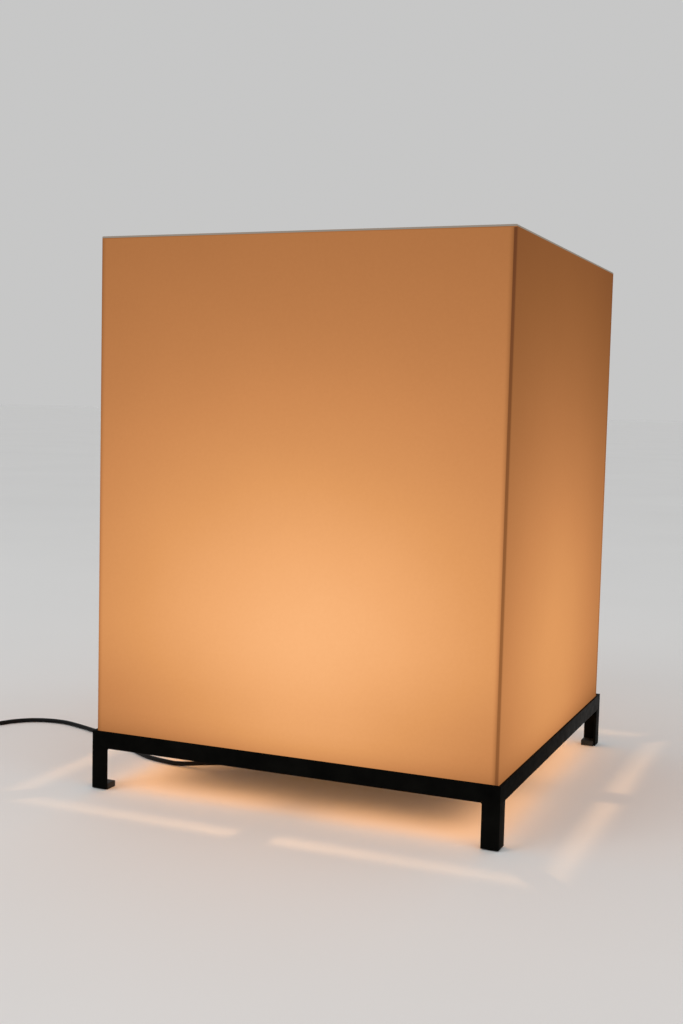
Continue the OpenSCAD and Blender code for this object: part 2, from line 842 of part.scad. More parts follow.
module switch_spring() {
    count = spring_turns * spring_rings;
    path = [for (i = [0 : count])
        let (a = 360 * i / spring_rings, share = i / count)
        [spring_radius * cos(a), spring_radius * sin(a), spring_low + (spring_high - spring_low) * share]];
    color(zinc) at_switch() tube(path, spring_wire, spring_sides);
}

module switch_contacts() {
    strip = 0.6;
    color(brass) at_switch()
        for (side = [-1, 1])
            mirror([0, side < 0 ? 1 : 0, 0])
                translate([-3, 0, 0]) rotate([90, 0, 90])
                    linear_extrude(6)
                        polygon([[8, switch_floor], [24, switch_floor], [24, switch_floor + strip],
                                 [14, switch_floor + strip], [9, 8], [8, 8], [13, switch_floor + strip],
                                 [8, switch_floor + strip]]);
}

module switch_screws() {
    color(zinc) at_switch()
        for (side = [-1, 1])
            translate([side * cover_screw_place, 0, 0]) {
                disc(cover_screw_head, 0.3, cover_screw_seat, small_facets);
                disc(cover_screw_radius, cover_screw_seat - 0.1, cover_screw_seat + cover_screw_length,
                     small_facets);
            }
}

// Ends of the two cords, held in the spouts of the switch
module switch_cord_ends() {
    color(plastic_black) at_switch()
        for (side = [-1, 1])
            rotate([90 * side, 0, 0]) translate([0, side * spout_z, spout_reach - cord_end_length])
                cylinder(r = cord_radius, h = cord_end_length, $fn = small_facets);
}

// ---------------------------------------------------------------- plug

// The plug lies flat and points along +Y; y = 0 is where the cord enters
module at_plug() { translate(plug_place) children(); }

plug_face = relief_length + plug_length;

module plug_body() {
    half = plug_width / 2;
    color(plastic_black) at_plug() {
        intersection() {
            translate([0, 0, -plug_thickness / 2]) linear_extrude(plug_thickness)
                polygon([[-5.5, relief_length - 1], [-9, relief_length + 4], [-13, relief_length + 12],
                         [-13.5, relief_length + 20], [-half, relief_length + 26], [-half, plug_face],
                         [half, plug_face], [half, relief_length + 26], [13.5, relief_length + 20],
                         [13, relief_length + 12], [9, relief_length + 4], [5.5, relief_length - 1]]);
            rotate([90, 0, 90]) linear_extrude(plug_width + 2, center = true)
                polygon([[relief_length - 1, -5], [relief_length + 8, -plug_thickness / 2],
                         [plug_face, -plug_thickness / 2], [plug_face, plug_thickness / 2],
                         [relief_length + 8, plug_thickness / 2], [relief_length - 1, 5]]);
        }
        rotate([-90, 0, 0])
            rotate_extrude($fn = small_facets)
                polygon(concat(
                    [[0, 0]],
                    [for (i = [0 : 4])
                        let (y = relief_length * i / 5, r = cord_radius + 0.7 + 1.2 * i / 5)
                        each [[r, y], [r + 0.2, y + 3.2], [r - 0.5, y + 3.4],
                              [r - 0.4, y + relief_length / 5]]],
                    [[0, relief_length]]));
    }
}

module plug_pins() {
    color(zinc) at_plug()
        for (side = [-1, 1])
            translate([side * pin_spacing / 2, plug_face, 0]) rotate([-90, 0, 0]) {
                cylinder(r = pin_diameter / 2 - 0.6, h = pin_length * pin_sleeve_share, $fn = small_facets);
                translate([0, 0, pin_length * pin_sleeve_share])
                    cylinder(r = pin_diameter / 2, h = pin_length * (1 - pin_sleeve_share) - 1,
                             $fn = small_facets);
                translate([0, 0, pin_length - 1])
                    cylinder(r1 = pin_diameter / 2, r2 = pin_diameter / 2 - 0.9, h = 1, $fn = small_facets);
            }
}

module plug_sleeves() {
    color(plastic_black) at_plug()
        for (side = [-1, 1])
            translate([side * pin_spacing / 2, plug_face, 0]) rotate([-90, 0, 0])
                ring(pin_diameter / 2 - 0.1, pin_diameter / 2 - 0.6, 0, pin_length * pin_sleeve_share,
                     small_facets);
}

// ---------------------------------------------------------------- assembly

rail(0);  // rail_front
rail(1);  // rail_right
rail(2);  // rail_back
rail(3);  // rail_left
leg(0);  // leg_front_left
leg(1);  // leg_front_right
leg(2);  // leg_back_right
leg(3);  // leg_back_left
foot(0);  // foot_front_left
foot(1);  // foot_front_right
foot(2);  // foot_back_right
foot(3);  // foot_back_left
cross_bar_long();
cross_bar_short(0);  // cross_bar_front
cross_bar_short(2);  // cross_bar_back
bottom_plate();
plate_screws();
plate_nuts();
shade_wall(0);  // shade_front
shade_wall(1);  // shade_right
shade_wall(2);  // shade_back
shade_wall(3);  // shade_left
shade_top();
holder_cap();
holder_shell();
holder_core();
screw_shell();
centre_contact();
terminal_screws();
holder_screws();
cord_bush();
cord_stub();
core_wires();
bulb_glass();
bulb_cap();
bulb_insulator();
bulb_contact();
bulb_stem();
bulb_filaments();
cord_run(route_to_switch);  // cord_to_switch
cord_run(route_to_coil);  // cord_to_coil
cord_coil();
cord_run(route_to_plug);  // cord_to_plug
switch_base();
switch_cover();
switch_button();
switch_spring();
switch_contacts();
switch_screws();
switch_cord_ends();
plug_body();
plug_pins();
plug_sleeves();
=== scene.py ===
"""Column floor lamp: builds the finished pieces over the packed model, gives each its material,
and sets the floor, the light and the camera."""

from functools import cache
from math import copysign, cos, hypot, pi, radians, sin, tau

import bmesh
import bpy
from bpy.props import FloatProperty, FloatVectorProperty, IntProperty, PointerProperty
from mathutils import Matrix, Vector


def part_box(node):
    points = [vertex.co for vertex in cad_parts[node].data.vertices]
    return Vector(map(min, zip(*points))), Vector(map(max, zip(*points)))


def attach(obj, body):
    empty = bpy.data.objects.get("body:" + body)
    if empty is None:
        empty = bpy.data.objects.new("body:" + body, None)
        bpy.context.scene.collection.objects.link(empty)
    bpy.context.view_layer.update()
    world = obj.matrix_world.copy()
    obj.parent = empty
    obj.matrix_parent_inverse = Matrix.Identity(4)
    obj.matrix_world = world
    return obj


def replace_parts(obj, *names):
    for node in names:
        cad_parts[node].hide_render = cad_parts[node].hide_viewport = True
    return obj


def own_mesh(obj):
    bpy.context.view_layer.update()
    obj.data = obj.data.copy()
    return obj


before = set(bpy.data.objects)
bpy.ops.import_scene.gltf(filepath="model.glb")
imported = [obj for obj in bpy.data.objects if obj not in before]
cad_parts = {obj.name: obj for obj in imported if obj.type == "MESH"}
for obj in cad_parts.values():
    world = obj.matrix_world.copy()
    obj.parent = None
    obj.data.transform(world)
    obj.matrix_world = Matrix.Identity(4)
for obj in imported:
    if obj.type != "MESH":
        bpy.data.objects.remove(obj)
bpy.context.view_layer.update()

bl_info = {
    "name": "Column floor lamp",
    "version": (1, 0, 0),
    "blender": (4, 5, 0),
    "location": "3D View > Sidebar > Lamp",
    "description": "Builds the opal box, steel frame, bulb, cord and foot switch of a floor lamp",
    "category": "Object",
}

X, Y, Z = 0, 1, 2
SIDES = (-1, 1)


def both(node, axis=Z):
    """The lower and upper bound of a node of the packed model along an axis, in metres."""
    low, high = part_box(node)
    return low[axis], high[axis]


def lower(node, axis=Z):
    return both(node, axis)[0]


def upper(node, axis=Z):
    return both(node, axis)[1]


HALF_FRAME = upper("rail_right", X)
RAIL_LOW = lower("rail_front")
FLANGE = upper("rail_front") - RAIL_LOW
HALF_SHADE = upper("shade_right", X)
SHADE_LOW = lower("shade_front")
SHEET_LOW, SHADE_TOP = both("shade_top")
OPAL_SHEET = SHADE_TOP - SHEET_LOW
PLATE_TOP = upper("bottom_plate")
BAR_LOW = lower("cross_bar_long")
LIGHT_HEIGHT = sum(both("bulb_filaments")) / 2


# ------------------------------------------------------------------ sizes and colours


def length(name, default, about, low=0.0):
    return FloatProperty(
        name=name, description=about, default=default, min=low, max=1, unit="LENGTH", precision=5
    )


def share(name, default, about, high=1.0):
    return FloatProperty(name=name, description=about, default=default, min=0, max=high)


def power(name, default, about):
    return FloatProperty(name=name, description=about, default=default, unit="POWER")


def number(name, default, about, low, high):
    return IntProperty(name=name, description=about, default=default, min=low, max=high)


def pair(name, default, about):
    """Two values: one for the front and back walls, one for the left and right walls. The second values
    give the left and right walls a dimmer glow, which is painted shade: the fall-off of a wall seen at a
    slant.
    """
    about += ", front and back, then left and right"
    return FloatVectorProperty(
        name=name, description=about, default=default, size=2, min=0, max=2, precision=4
    )


def colour(name, default, about):
    return FloatVectorProperty(
        name=name, description=about, default=default, subtype="COLOR", size=3, min=0, max=1
    )


class SteelSettings(bpy.types.PropertyGroup):
    """The welded frame of steel angle."""

    thickness: length("Thickness", SHADE_LOW - RAIL_LOW, "Thickness of the steel angle")
    heel: length("Heel radius", 0.0006, "Rounding of the angle's outer corner")
    toe: length("Toe radius", 0.0009, "Rounding of each flange's inner edge")
    root: length("Root radius", 0.0012, "Fillet inside the angle")
    bead: length("Weld bead", 0.0011, "Radius of the weld beads")
    ripple: length("Ripple", 0.0012, "Distance between the ripples of a weld bead")
    paint: colour("Paint", (0.0030, 0.0030, 0.0026), "Black paint of the frame, bars and plate")
    gloss: share("Roughness", 0.36, "Roughness of the paint")


class ShadeSettings(bpy.types.PropertyGroup):
    """The opal box and the way its light falls off."""

    edge_round: length("Edge", 0.00025, "Rounding of the sheets' cut edges")
    glow_x: length("Light X", 0.0212, "Side place of the brightest spot", -1)
    glow_y: length("Light Y", -0.0199, "Depth place of the brightest spot", -1)
    glow_z: pair("Light height", (0.2097, 0.1708), "Height of the brightest spot")
    reach_up: pair("Reach up", (0.2166, 0.2868), "Distance over which the glow falls off upwards")
    reach_down: pair("Reach down", (0.1855, 0.2120), "Distance over which it falls off downwards")
    reach_side: pair("Reach sideways", (0.2800, 0.3311), "Distance over which it falls off sideways")
    # The lower base and peak levels of the left and right walls are painted shade: the dimming of a
    # glowing wall seen at a slant, given to those walls from every side.
    base_level: pair("Base level", (0.0927, 0.0036), "Glow far from the bulb")
    peak_level: pair("Peak level", (0.3604, 0.3163), "What the bulb adds at the brightest spot")
    corner: share("Corner fall-off", 3.15, "Extra fall-off towards the lower corners", 10)
    # The pale line is a painted highlight: room light caught on the top sheet's cut edge, given as glow.
    painted_highlight_height: length("Pale line", 0.0020, "Height of the pale line on the top sheet's cut edge")
    pale: colour("Pale line colour", (0.25, 0.235, 0.205), "Colour of the pale line")
    top_level: share("Top level", 0.17, "Glow in the middle of the top sheet")
    # This colour is darker and warmer than the pale opal sheet is: painted shade and glow tint, so that
    # the room light adds little to the glow.
    sheet: colour("Sheet", (0.030, 0.014, 0.006), "Opal sheet where its own light is off")


class CordSettings(bpy.types.PropertyGroup):
    """The mains cord and the pieces on it."""

    diameter: length("Diameter", 0.0056, "Diameter of the cord")
    coil_radius: length("Coil radius", 0.040, "Radius of the coil's outermost turn")
    coil_step: length("Coil step", 0.0064, "Step between neighbouring turns")
    coil_turns: number("Coil turns", 5, "Turns in the coil", 3, 8)
    jacket: colour("Jacket", (0.005, 0.005, 0.005), "Black cord jacket")
    moulding: colour("Moulding", (0.011, 0.011, 0.0115), "Switch, plug and holder mouldings")
    button: colour("Button", (0.055, 0.056, 0.06), "Grey button of the foot switch")


class BulbSettings(bpy.types.PropertyGroup):
    """The lamp holder and the bulb."""

    radius: length("Bulb radius", upper("bulb_glass", X), "Radius of the glass")
    wall: length("Glass wall", 0.0008, "Thickness of the glass")
    pitch: length("Thread pitch", 0.00362, "Pitch of the 27 mm screw base")
    sources: number("Light sources", 4, "Light sources round the stem", 1, 8)
    source_ring: length("Source ring", 0.007, "Distance of the sources from the stem")
    source_length: length("Source length", 0.030, "Length of each light source")
    warm: colour("Light", (1.0, 0.50, 0.17), "Colour of the light sources")
    brightness: share("Brightness", 1.6, "Strength of the light sources", 100)


class StageSettings(bpy.types.PropertyGroup):
    """Floor, light and camera."""

    floor: colour("Floor", (0.80, 0.80, 0.795), "Pale floor")
    backdrop: colour("Backdrop", (0.57, 0.57, 0.568), "What is seen behind the lamp")
    room_light: share("Room light", 0.70, "Strength of the even light all round", 5)
    key_light: power("Key light", 20.0, "Large soft light")
    bulb_light: power("Bulb light", 4.0, "The bulb's light, which leaves by the slot round the plate")
    box_light: power("Box light", 1.7, "Light that the inside of the opal box gives back")
    spill_light: power("Spill light", 0.10, "Warm light thrown back and forth under the plate")
    lens: FloatProperty(name="Lens", description="Focal length", default=46.35, unit="CAMERA")


SETTINGS = {
    "lamp_steel": SteelSettings, "lamp_shade": ShadeSettings, "lamp_cord": CordSettings,
    "lamp_bulb": BulbSettings, "lamp_stage": StageSettings,
}


# ------------------------------------------------------------------ node helpers


class Value:
    """A node's output to calculate with: each operation adds a Math node to its tree."""

    def __init__(self, tree, socket):
        self.tree, self.socket = tree, socket

    def into(self, node, key):
        self.tree.links.new(self.socket, node.inputs[key])

    def __add__(self, other):
        return calc("ADD", self, other)

    __radd__ = __add__

    def __sub__(self, other):
        return calc("SUBTRACT", self, other)

    def __rsub__(self, other):
        return calc("SUBTRACT", other, self)

    def __mul__(self, other):
        return calc("MULTIPLY", self, other)

    def __truediv__(self, other):
        return calc("DIVIDE", self, other)

    def __rtruediv__(self, other):
        return calc("DIVIDE", other, self)


def add(tree, kind, inputs=None, output=0, **settings):
    """Adds a node and returns one of its outputs, or the node if it has none. Inputs are outputs
    to link, a list of them where a socket takes several, or plain values to set."""
    node = tree.nodes.new(kind)
    for name, value in settings.items():
        setattr(node, name, value)
    for key, value in (inputs or {}).items():
        for each in value if isinstance(value, list) else [value]:
            if isinstance(each, Value):
                each.into(node, key)
            else:
                node.inputs[key].default_value = each
    return Value(tree, node.outputs[output]) if node.outputs else node


def calc(operation, *values):
    """A Math node of values, of which one at least is an output."""
    tree = next(value.tree for value in values if isinstance(value, Value))
    return add(tree, "ShaderNodeMath", dict(enumerate(values)), operation=operation)


def split(vector):
    """X, Y and Z of a vector."""
    node = add(vector.tree, "ShaderNodeSeparateXYZ", {0: vector}).socket.node
    return [Value(vector.tree, socket) for socket in node.outputs]


def new_material(name, **values):
    """A Principled material with its shader and object coordinates; the values are set on the
    shader's own sockets."""
    made = bpy.data.materials.new(name)
    made.use_nodes = True
    shader = made.node_tree.nodes["Principled BSDF"]
    for key, value in values.items():
        socket = shader.inputs[key.replace("_", " ")]
        socket.default_value = (*value, 1) if hasattr(value, "__len__") else value
    return made, shader, add(made.node_tree, "ShaderNodeTexCoord", output="Object")


def noise(place, scale, detail=3.0, rough=0.5, stretch=None):
    tree = place.tree
    if stretch:
        place = add(tree, "ShaderNodeMapping", {"Vector": place, "Scale": stretch})
    inputs = {"Vector": place, "Scale": scale, "Detail": detail, "Roughness": rough}
    return add(tree, "ShaderNodeTexNoise", inputs)


# Most of a noise's values lie between these
NOISE_LOW, NOISE_HIGH = 0.3, 0.7


def spread(value, low, high):
    """Maps the usual range of a noise onto low to high."""
    inputs = {
        "Value": value, "From Min": NOISE_LOW, "From Max": NOISE_HIGH, "To Min": low, "To Max": high
    }
    return add(value.tree, "ShaderNodeMapRange", inputs)


def mixed(value, dark, light):
    """A colour between two by a value from 0 to 1; dark may be an output."""
    first = dark if isinstance(dark, Value) else (*dark, 1)
    inputs = {"Factor": value, "A": first, "B": (*light, 1)}
    return add(value.tree, "ShaderNodeMix", inputs, "Result", data_type="RGBA")


def bump(shader, height, strength, distance):
    inputs = {"Height": height, "Strength": strength, "Distance": distance}
    add(height.tree, "ShaderNodeBump", inputs).into(shader, "Normal")


def ramp(value, stops):
    """A colour for each value; the stops are (value, red, green, blue) in rising order."""
    top = stops[-1][0]
    made = add(value.tree, "ShaderNodeValToRGB", {0: value / top})
    points = made.socket.node.color_ramp.elements
    while len(points) < len(stops):
        points.new(1.0)
    for point, stop in zip(points, stops, strict=True):
        point.position = stop[0] / top
        point.color = (*(stop[1:] if len(stop) == 4 else (stop[1],) * 3), 1)
    return made


# ------------------------------------------------------------------ materials


def shades(rgb, low, high):
    return [tuple(min(1.0, v * k) for v in rgb) for k in (low, high)]


def surface(name, colours, rough, patch, shine=None, grain=None, relief=(0.2, 0.0002), **values):
    """A material between two colours and two values of roughness. Its colour (patch), roughness
    (shine) and relief (grain) follow noises, each given by its scale, detail, roughness and stretch.
    The colour's noise serves where another is left out. The relief is (strength, distance)."""
    made, shader, place = new_material(name, **values)
    first = noise(place, *patch)
    mixed(spread(first, 0, 1), *colours).into(shader, "Base Color")
    spread(noise(place, *shine) if shine else first, *rough).into(shader, "Roughness")
    bump(shader, noise(place, *grain) if grain else first, *relief)
    return made


@cache
def black_paint():
    steel = bpy.context.scene.lamp_steel
    return surface(
        "satin_black_paint", shades(steel.paint, 0.75, 1.6), (steel.gloss - 0.05, steel.gloss + 0.08),
        patch=(38, 4, 0.6), shine=(90, 5, 0.6), grain=(780, 2, 0.4), relief=(0.10, 0.0004),
        Specular_IOR_Level=0.004,
    )


@cache
def black_moulding():
    colours = shades(bpy.context.scene.lamp_cord.moulding, 0.8, 1.4)
    return surface(
        "black_moulding", colours, (0.44, 0.56), patch=(1500, 3, 0.6), shine=(220,),
        relief=(0.22, 0.0002), Specular_IOR_Level=0.3,
    )


@cache
def grey_button():
    colours = shades(bpy.context.scene.lamp_cord.button, 0.85, 1.2)
    return surface(
        "grey_button", colours, (0.40, 0.54), patch=(1300, 3, 0.6), shine=(120,),
        Specular_IOR_Level=0.45,
    )


@cache
def cord_jacket():
    colours = shades(bpy.context.scene.lamp_cord.jacket, 0.8, 1.45)
    return surface(
        "cord_jacket", colours, (0.34, 0.5), patch=(60, 4, 0.6), shine=(400, 4), grain=(1200, 2),
        relief=(0.12, 0.0002), Specular_IOR_Level=0.12,
    )


@cache
def glide_plastic():
    return surface(
        "glide_plastic", ((0.008, 0.008, 0.008), (0.022, 0.021, 0.020)), (0.5, 0.72),
        patch=(160, 5, 0.7), grain=(900, 3), relief=(0.25, 0.0003), Specular_IOR_Level=0.35,
    )


@cache
def glazed_porcelain():
    return surface(
        "glazed_porcelain", ((0.62, 0.60, 0.55), (0.74, 0.73, 0.69)), (0.22, 0.34),
        patch=(320, 4, 0.7), grain=(150, 3), relief=(0.15, 0.0004), Coat_Weight=0.5,
    )


@cache
def black_glass():
    return surface(
        "base_insulator", ((0.006, 0.005, 0.008), (0.03, 0.022, 0.03)), (0.12, 0.24),
        patch=(260, 5, 0.6), relief=(0.1, 0.0003), Coat_Weight=0.6,
    )


# Dark and light colour, roughness, scale of the patches and strength of the relief
METALS = {
    "zinc_plate": ((0.50, 0.52, 0.54), (0.72, 0.73, 0.74), 0.30, 240, 0.12),
    "nickel_shell": ((0.60, 0.58, 0.54), (0.78, 0.76, 0.72), 0.22, 180, 0.12),
    "spring_steel": ((0.34, 0.34, 0.35), (0.55, 0.55, 0.56), 0.28, 500, 0.12),
    "brass_sheet": ((0.60, 0.42, 0.15), (0.82, 0.62, 0.28), 0.26, 200, 0.12),
    "solder_dome": ((0.42, 0.42, 0.42), (0.62, 0.62, 0.61), 0.38, 420, 0.3),
}
GLASSES = {
    "bulb_clear_glass": ((0.95, 0.96, 0.955), (0.99, 0.99, 0.985)),
    "stem_glass": ((0.90, 0.93, 0.91), (0.97, 0.98, 0.97)),
}


@cache
def metal(name):
    dark, light, rough, scale, strength = METALS[name]
    return surface(
        name, (dark, light), (rough - 0.06, rough + 0.1), patch=(scale, 5, 0.6),
        shine=(scale * 3, 4, 0.6), grain=(scale * 9, 2), relief=(strength, 0.0002), Metallic=1.0,
    )


@cache
def glass(name):
    return surface(
        name, GLASSES[name], (0.0, 0.035), patch=(26, 3, 0.5, (1, 1, 0.35)), relief=(0.06, 0.0006),
        Transmission_Weight=1.0, IOR=1.46,
    )


EMITTER_STEP = 0.0014


@cache
def light_source():
    """Coated stick: brighter where its small emitters sit under the yellow coating."""
    bulb = bpy.context.scene.lamp_bulb
    made, shader, place = new_material(
        "light_source", Base_Color=(0.8, 0.45, 0.1), Roughness=0.5, Emission_Strength=bulb.brightness
    )
    ridge = calc("SINE", split(place)[Z] * (tau / EMITTER_STEP))
    mixed(ridge * 0.5 + 0.5, *shades(bulb.warm, 0.72, 1)).into(shader, "Emission Color")
    bump(shader, noise(place, 900), 0.2, 0.0002)
    return made


@cache
def core_insulation():
    """Brown on one core and blue on the other, by the side of the holder they run to."""
    made, shader, place = new_material("core_insulation", Roughness=0.42)
    which = calc("GREATER_THAN", split(place)[X], 0.0)
    mixed(which, (0.012, 0.06, 0.32), (0.16, 0.055, 0.02)).into(shader, "Base Color")
    bump(shader, noise(place, 1500), 0.15, 0.0001)
    return made


# How the opal's colour follows its level: (level, red, green, blue)
OPAL_TONES = (
    (0.000, 0.030, 0.000, 0.003), (0.100, 0.268, 0.100, 0.031), (0.165, 0.421, 0.165, 0.055),
    (0.240, 0.585, 0.240, 0.083), (0.320, 0.728, 0.320, 0.113), (0.400, 0.856, 0.400, 0.158),
    (0.500, 0.985, 0.500, 0.222),
)
# Share of the glow beside a wall's ends, by the distance in metres: the covering end from its
# cut face inwards, and the covered end from the joint inwards
# The dip at each end and on the cut face is painted shade: the corner joint keeps the inside light off
# them.
COVERING_END = (
    (0.0, 0.50), (0.001, 0.48), (0.0011, 0.60), (0.0022, 0.72), (0.0035, 0.83), (0.0049, 0.93),
    (0.0070, 1.0),
)
COVERED_END = (
    (0.0, 0.60), (0.0008, 0.69), (0.0019, 0.81), (0.0031, 0.89), (0.0042, 0.965), (0.0055, 1.0),
)
# A wall's layout puts its cut face this far beyond its outer face
CUT_FACE = 0.001
# Share of the glow by the height over the rail: the plate inside shades the foot of the walls
RAIL_SHADE = ((0.0, 0.82), (0.006, 0.90), (0.012, 0.96), (0.018, 1.0), (0.030, 1.03), (0.060, 1.0))
# Share of the top sheet's glow by the distance from its cut edge, and the width of that edge
TOP_EDGE = ((0.0, 1.0), (0.0004, 1.0), (0.003, 0.8), (0.006, 0.9), (0.012, 1.0))
TOP_RIM = 0.0004
TOP_FALL_OFF = 4.2
# How much the top sheet's cut edge gains at the front and back, and at the left and right: painted light
# and shade that make the left and right edges dimmer, as on the walls
RIM_GAIN = (0.05, -0.30)
# How far the tone of the opal and of the floor wanders
CLOUDS = (0.985, 1.015)


def glow_level(along, height, side, opal):
    """Level of a wall's glow: base + peak / (1 + across + up + down), each of them a square.

    The fall-off downwards is steeper towards the corners. Side is 0 on the front and back walls
    and 1 on the left and right walls; the dimmer values of the latter are painted shade.
    """

    def wall(values):
        return side * (values[1] - values[0]) + values[0]

    def square(value, reach):
        ratio = value / wall(reach)
        return ratio * ratio

    rise = height - wall(opal.glow_z)
    across = square(along, opal.reach_side)
    up = square(calc("MAXIMUM", rise, 0), opal.reach_up)
    down = square(calc("MINIMUM", rise, 0), opal.reach_down) * (across * opal.corner + 1)
    return wall(opal.peak_level) / (across + up + (down + 1)) + wall(opal.base_level)


def opal_material(name):
    sheet = bpy.context.scene.lamp_shade.sheet
    return new_material(name, Base_Color=sheet, Specular_IOR_Level=0.0, Emission_Strength=1.0)


def opal_finish(shader, place, level):
    """Sets the sheet's skin; returns the glow's colour by its level, slightly clouded."""
    cloud, grain = noise(place, 9, 4, 0.55), noise(place, 260, 3, 0.6)
    level = level * spread(cloud, *CLOUDS) * spread(grain, *CLOUDS)
    spread(grain, 0.5, 0.6).into(shader, "Roughness")
    bump(shader, grain, 0.05, 0.0002)
    return ramp(level, OPAL_TONES)


@cache
def opal_wall():
    opal = bpy.context.scene.lamp_shade
    made, shader, place = opal_material("opal_wall")
    tree = place.tree
    along, height, _ = split(add(tree, "ShaderNodeUVMap", uv_map="sheet"))
    side, spot = (
        add(tree, "ShaderNodeAttribute", output="Fac", attribute_name=name) for name in ("side", "spot")
    )
    level = glow_level(along - spot, height, side, opal)
    for distance, shares in (
        (along + (HALF_SHADE + CUT_FACE), COVERING_END),
        (HALF_SHADE - OPAL_SHEET - along, COVERED_END),
        (height - (RAIL_LOW + FLANGE), RAIL_SHADE),
    ):
        level = level * ramp(calc("MAXIMUM", distance, 0), shares)
    opal_finish(shader, place, level).into(shader, "Emission Color")
    return made


@cache
def opal_top():
    """Dims towards its edges. The upper part of its cut edge carries a painted highlight, a pale line
    round the box.
    """
    opal = bpy.context.scene.lamp_shade
    made, shader, place = opal_material("opal_top")
    x, y, height = split(place)
    far_x, far_y = calc("ABSOLUTE", x), calc("ABSOLUTE", y)
    inward = calc("MAXIMUM", HALF_SHADE - calc("MAXIMUM", far_x, far_y), 0)
    level = opal.top_level / ((x * x + y * y) * TOP_FALL_OFF + 1.0) * ramp(inward, TOP_EDGE)
    # The outer rim's glow is raised at the front and back and lowered at the sides: painted light and
    # shade. Its upper part gets the painted highlight.
    outer = calc("LESS_THAN", inward, TOP_RIM)
    at_side = calc("GREATER_THAN", far_x, far_y)
    rim = outer * (at_side * (RIM_GAIN[1] - RIM_GAIN[0]) + RIM_GAIN[0]) + 1
    high = calc("GREATER_THAN", height, SHADE_TOP - opal.painted_highlight_height)
    glow = opal_finish(shader, place, level * rim)
    mixed(high * outer, glow, opal.pale).into(shader, "Emission Color")
    return made


# ------------------------------------------------------------------ mesh helpers


# Points nearer than this are one; lengths below TINY count as nothing
MERGE, TINY = 1e-6, 1e-7
# Faces that meet at less than this angle, in degrees, are shaded as one
SMOOTH_BELOW = 32


def mesh_of(points, faces, edges=()):
    mesh = bpy.data.meshes.new("shape")
    mesh.from_pydata([tuple(p) for p in points], edges, faces)
    return mesh


def linked(name, data):
    made = bpy.data.objects.new(name, data)
    bpy.context.scene.collection.objects.link(made)
    return made


def keep(name, mesh, made_of, angle=SMOOTH_BELOW):
    """Closes a mesh or (points, faces) shape, turns its faces outwards, shades it and links it."""
    if isinstance(mesh, tuple):
        mesh = mesh_of(*mesh)
    shape = bmesh.new()
    shape.from_mesh(mesh)
    bmesh.ops.remove_doubles(shape, verts=shape.verts, dist=MERGE)
    bmesh.ops.dissolve_degenerate(shape, edges=shape.edges, dist=TINY)
    bmesh.ops.recalc_face_normals(shape, faces=shape.faces)
    shape.to_mesh(mesh)
    shape.free()
    mesh.materials.clear()
    mesh.materials.append(made_of)
    mesh.polygons.foreach_set("use_smooth", [True] * len(mesh.polygons))
    mesh.set_sharp_from_angle(angle=radians(angle))
    return linked(name, mesh)


def joined(parts):
    """Points and faces of several (points, faces) shapes in one."""
    points, faces = [], []
    for some, sides in parts:
        start = len(points)
        points += some
        faces += [[start + i for i in face] for face in sides]
    return points, faces


# The share of a side that the rounding of one corner may take
MOST_OF_SIDE = 0.48


def softened(outline, steps=3, closed=True):
    """Rounds the corners of an outline; each is (x, y, size of its rounding), or (x, y) if sharp."""
    count = len(outline)
    flat = [Vector(corner[:2]) for corner in outline]
    out = []
    for i, corner in enumerate(flat):
        size = outline[i][2] if len(outline[i]) > 2 else 0
        if size <= 0 or not closed and i in (0, count - 1):
            out.append(corner)
            continue
        start, end = (
            corner + (near - corner).normalized() * min(size, MOST_OF_SIDE * (near - corner).length)
            for near in (flat[i - 1], flat[(i + 1) % count])
        )
        for k in range(steps + 1):
            t = k / steps
            out.append(start * (1 - t) ** 2 + corner * 2 * t * (1 - t) + end * t * t)
    return out


def loft(rings, loop=False):
    """Skin over rings of points with the same count; loop joins the last ring to the first."""
    size, last = len(rings[0]), len(rings) - 1
    faces = []
    for i in range(last + loop):
        a, b = i * size, (i + 1) % len(rings) * size
        faces += [[a + k, a + (k + 1) % size, b + (k + 1) % size, b + k] for k in range(size)]
    if not loop:
        faces += [list(range(size))[::-1], [last * size + k for k in range(size)]]
    return [Vector(p) for ring in rings for p in ring], faces


def turned(outline, steps, soft=3, at=(0, 0, 0), along=(0, 0, 1), shape=None):
    """Turns an outline of (radius, height, rounding) round an axis; shape(angle, radius, height)
    may change the radius. An outline that starts and ends on the axis is closed there."""
    axis = outline[0][0] < TINY and outline[-1][0] < TINY
    outline = softened(outline, soft, not axis)
    count = len(outline)
    points, faces = [], []
    for i in range(steps):
        a = tau * i / steps
        for radius, height in outline:
            r = shape(a, radius, height) if shape and radius > 0 else radius
            points.append(Vector((r * cos(a), r * sin(a), height)))
        a, b = i * count, (i + 1) % steps * count
        for k in range(count - 1 if axis else count):
            n = (k + 1) % count
            faces.append([a + k, b + k, b + n, a + n])
    turn = Vector((0, 0, 1)).rotation_difference(Vector(along)).to_matrix().to_4x4()
    place = Matrix.Translation(at) @ turn
    return [place @ p for p in points], faces


def wave(turns):
    """A smooth ridge from 0 to 1 and back for each turn."""
    return 0.5 - 0.5 * cos(tau * turns)


def between(value, low, high, soft):
    """1 between two values, 0 outside them, and rising from each over the soft distance."""
    return min(1, max(0, (value - low) / soft), max(0, (high - value) / soft))


def ribs(count, span, radii, gap, depth, soft=0.0003, lip=0.0):
    """Corners of the grooves between the ribs of a bend relief, from one end to the other."""
    out = []
    for i in range(1, count):
        end, r = (a + (b - a) * i / count for a, b in (span, radii))
        out += [(r, end - gap, soft), (r - depth, end - gap, soft), (r - depth, end, soft)]
        out.append((r + lip, end, soft))
    return out


def prism(outline, low, high):
    return loft([[(x, y, z) for x, y in outline] for z in (low, high)])


def bevel(piece, width, segments=2, angle=40):
    step = piece.modifiers.new("edges", "BEVEL")
    step.width, step.segments = width, segments
    step.limit_method, step.angle_limit = "ANGLE", radians(angle)
    step.harden_normals = False
    return piece


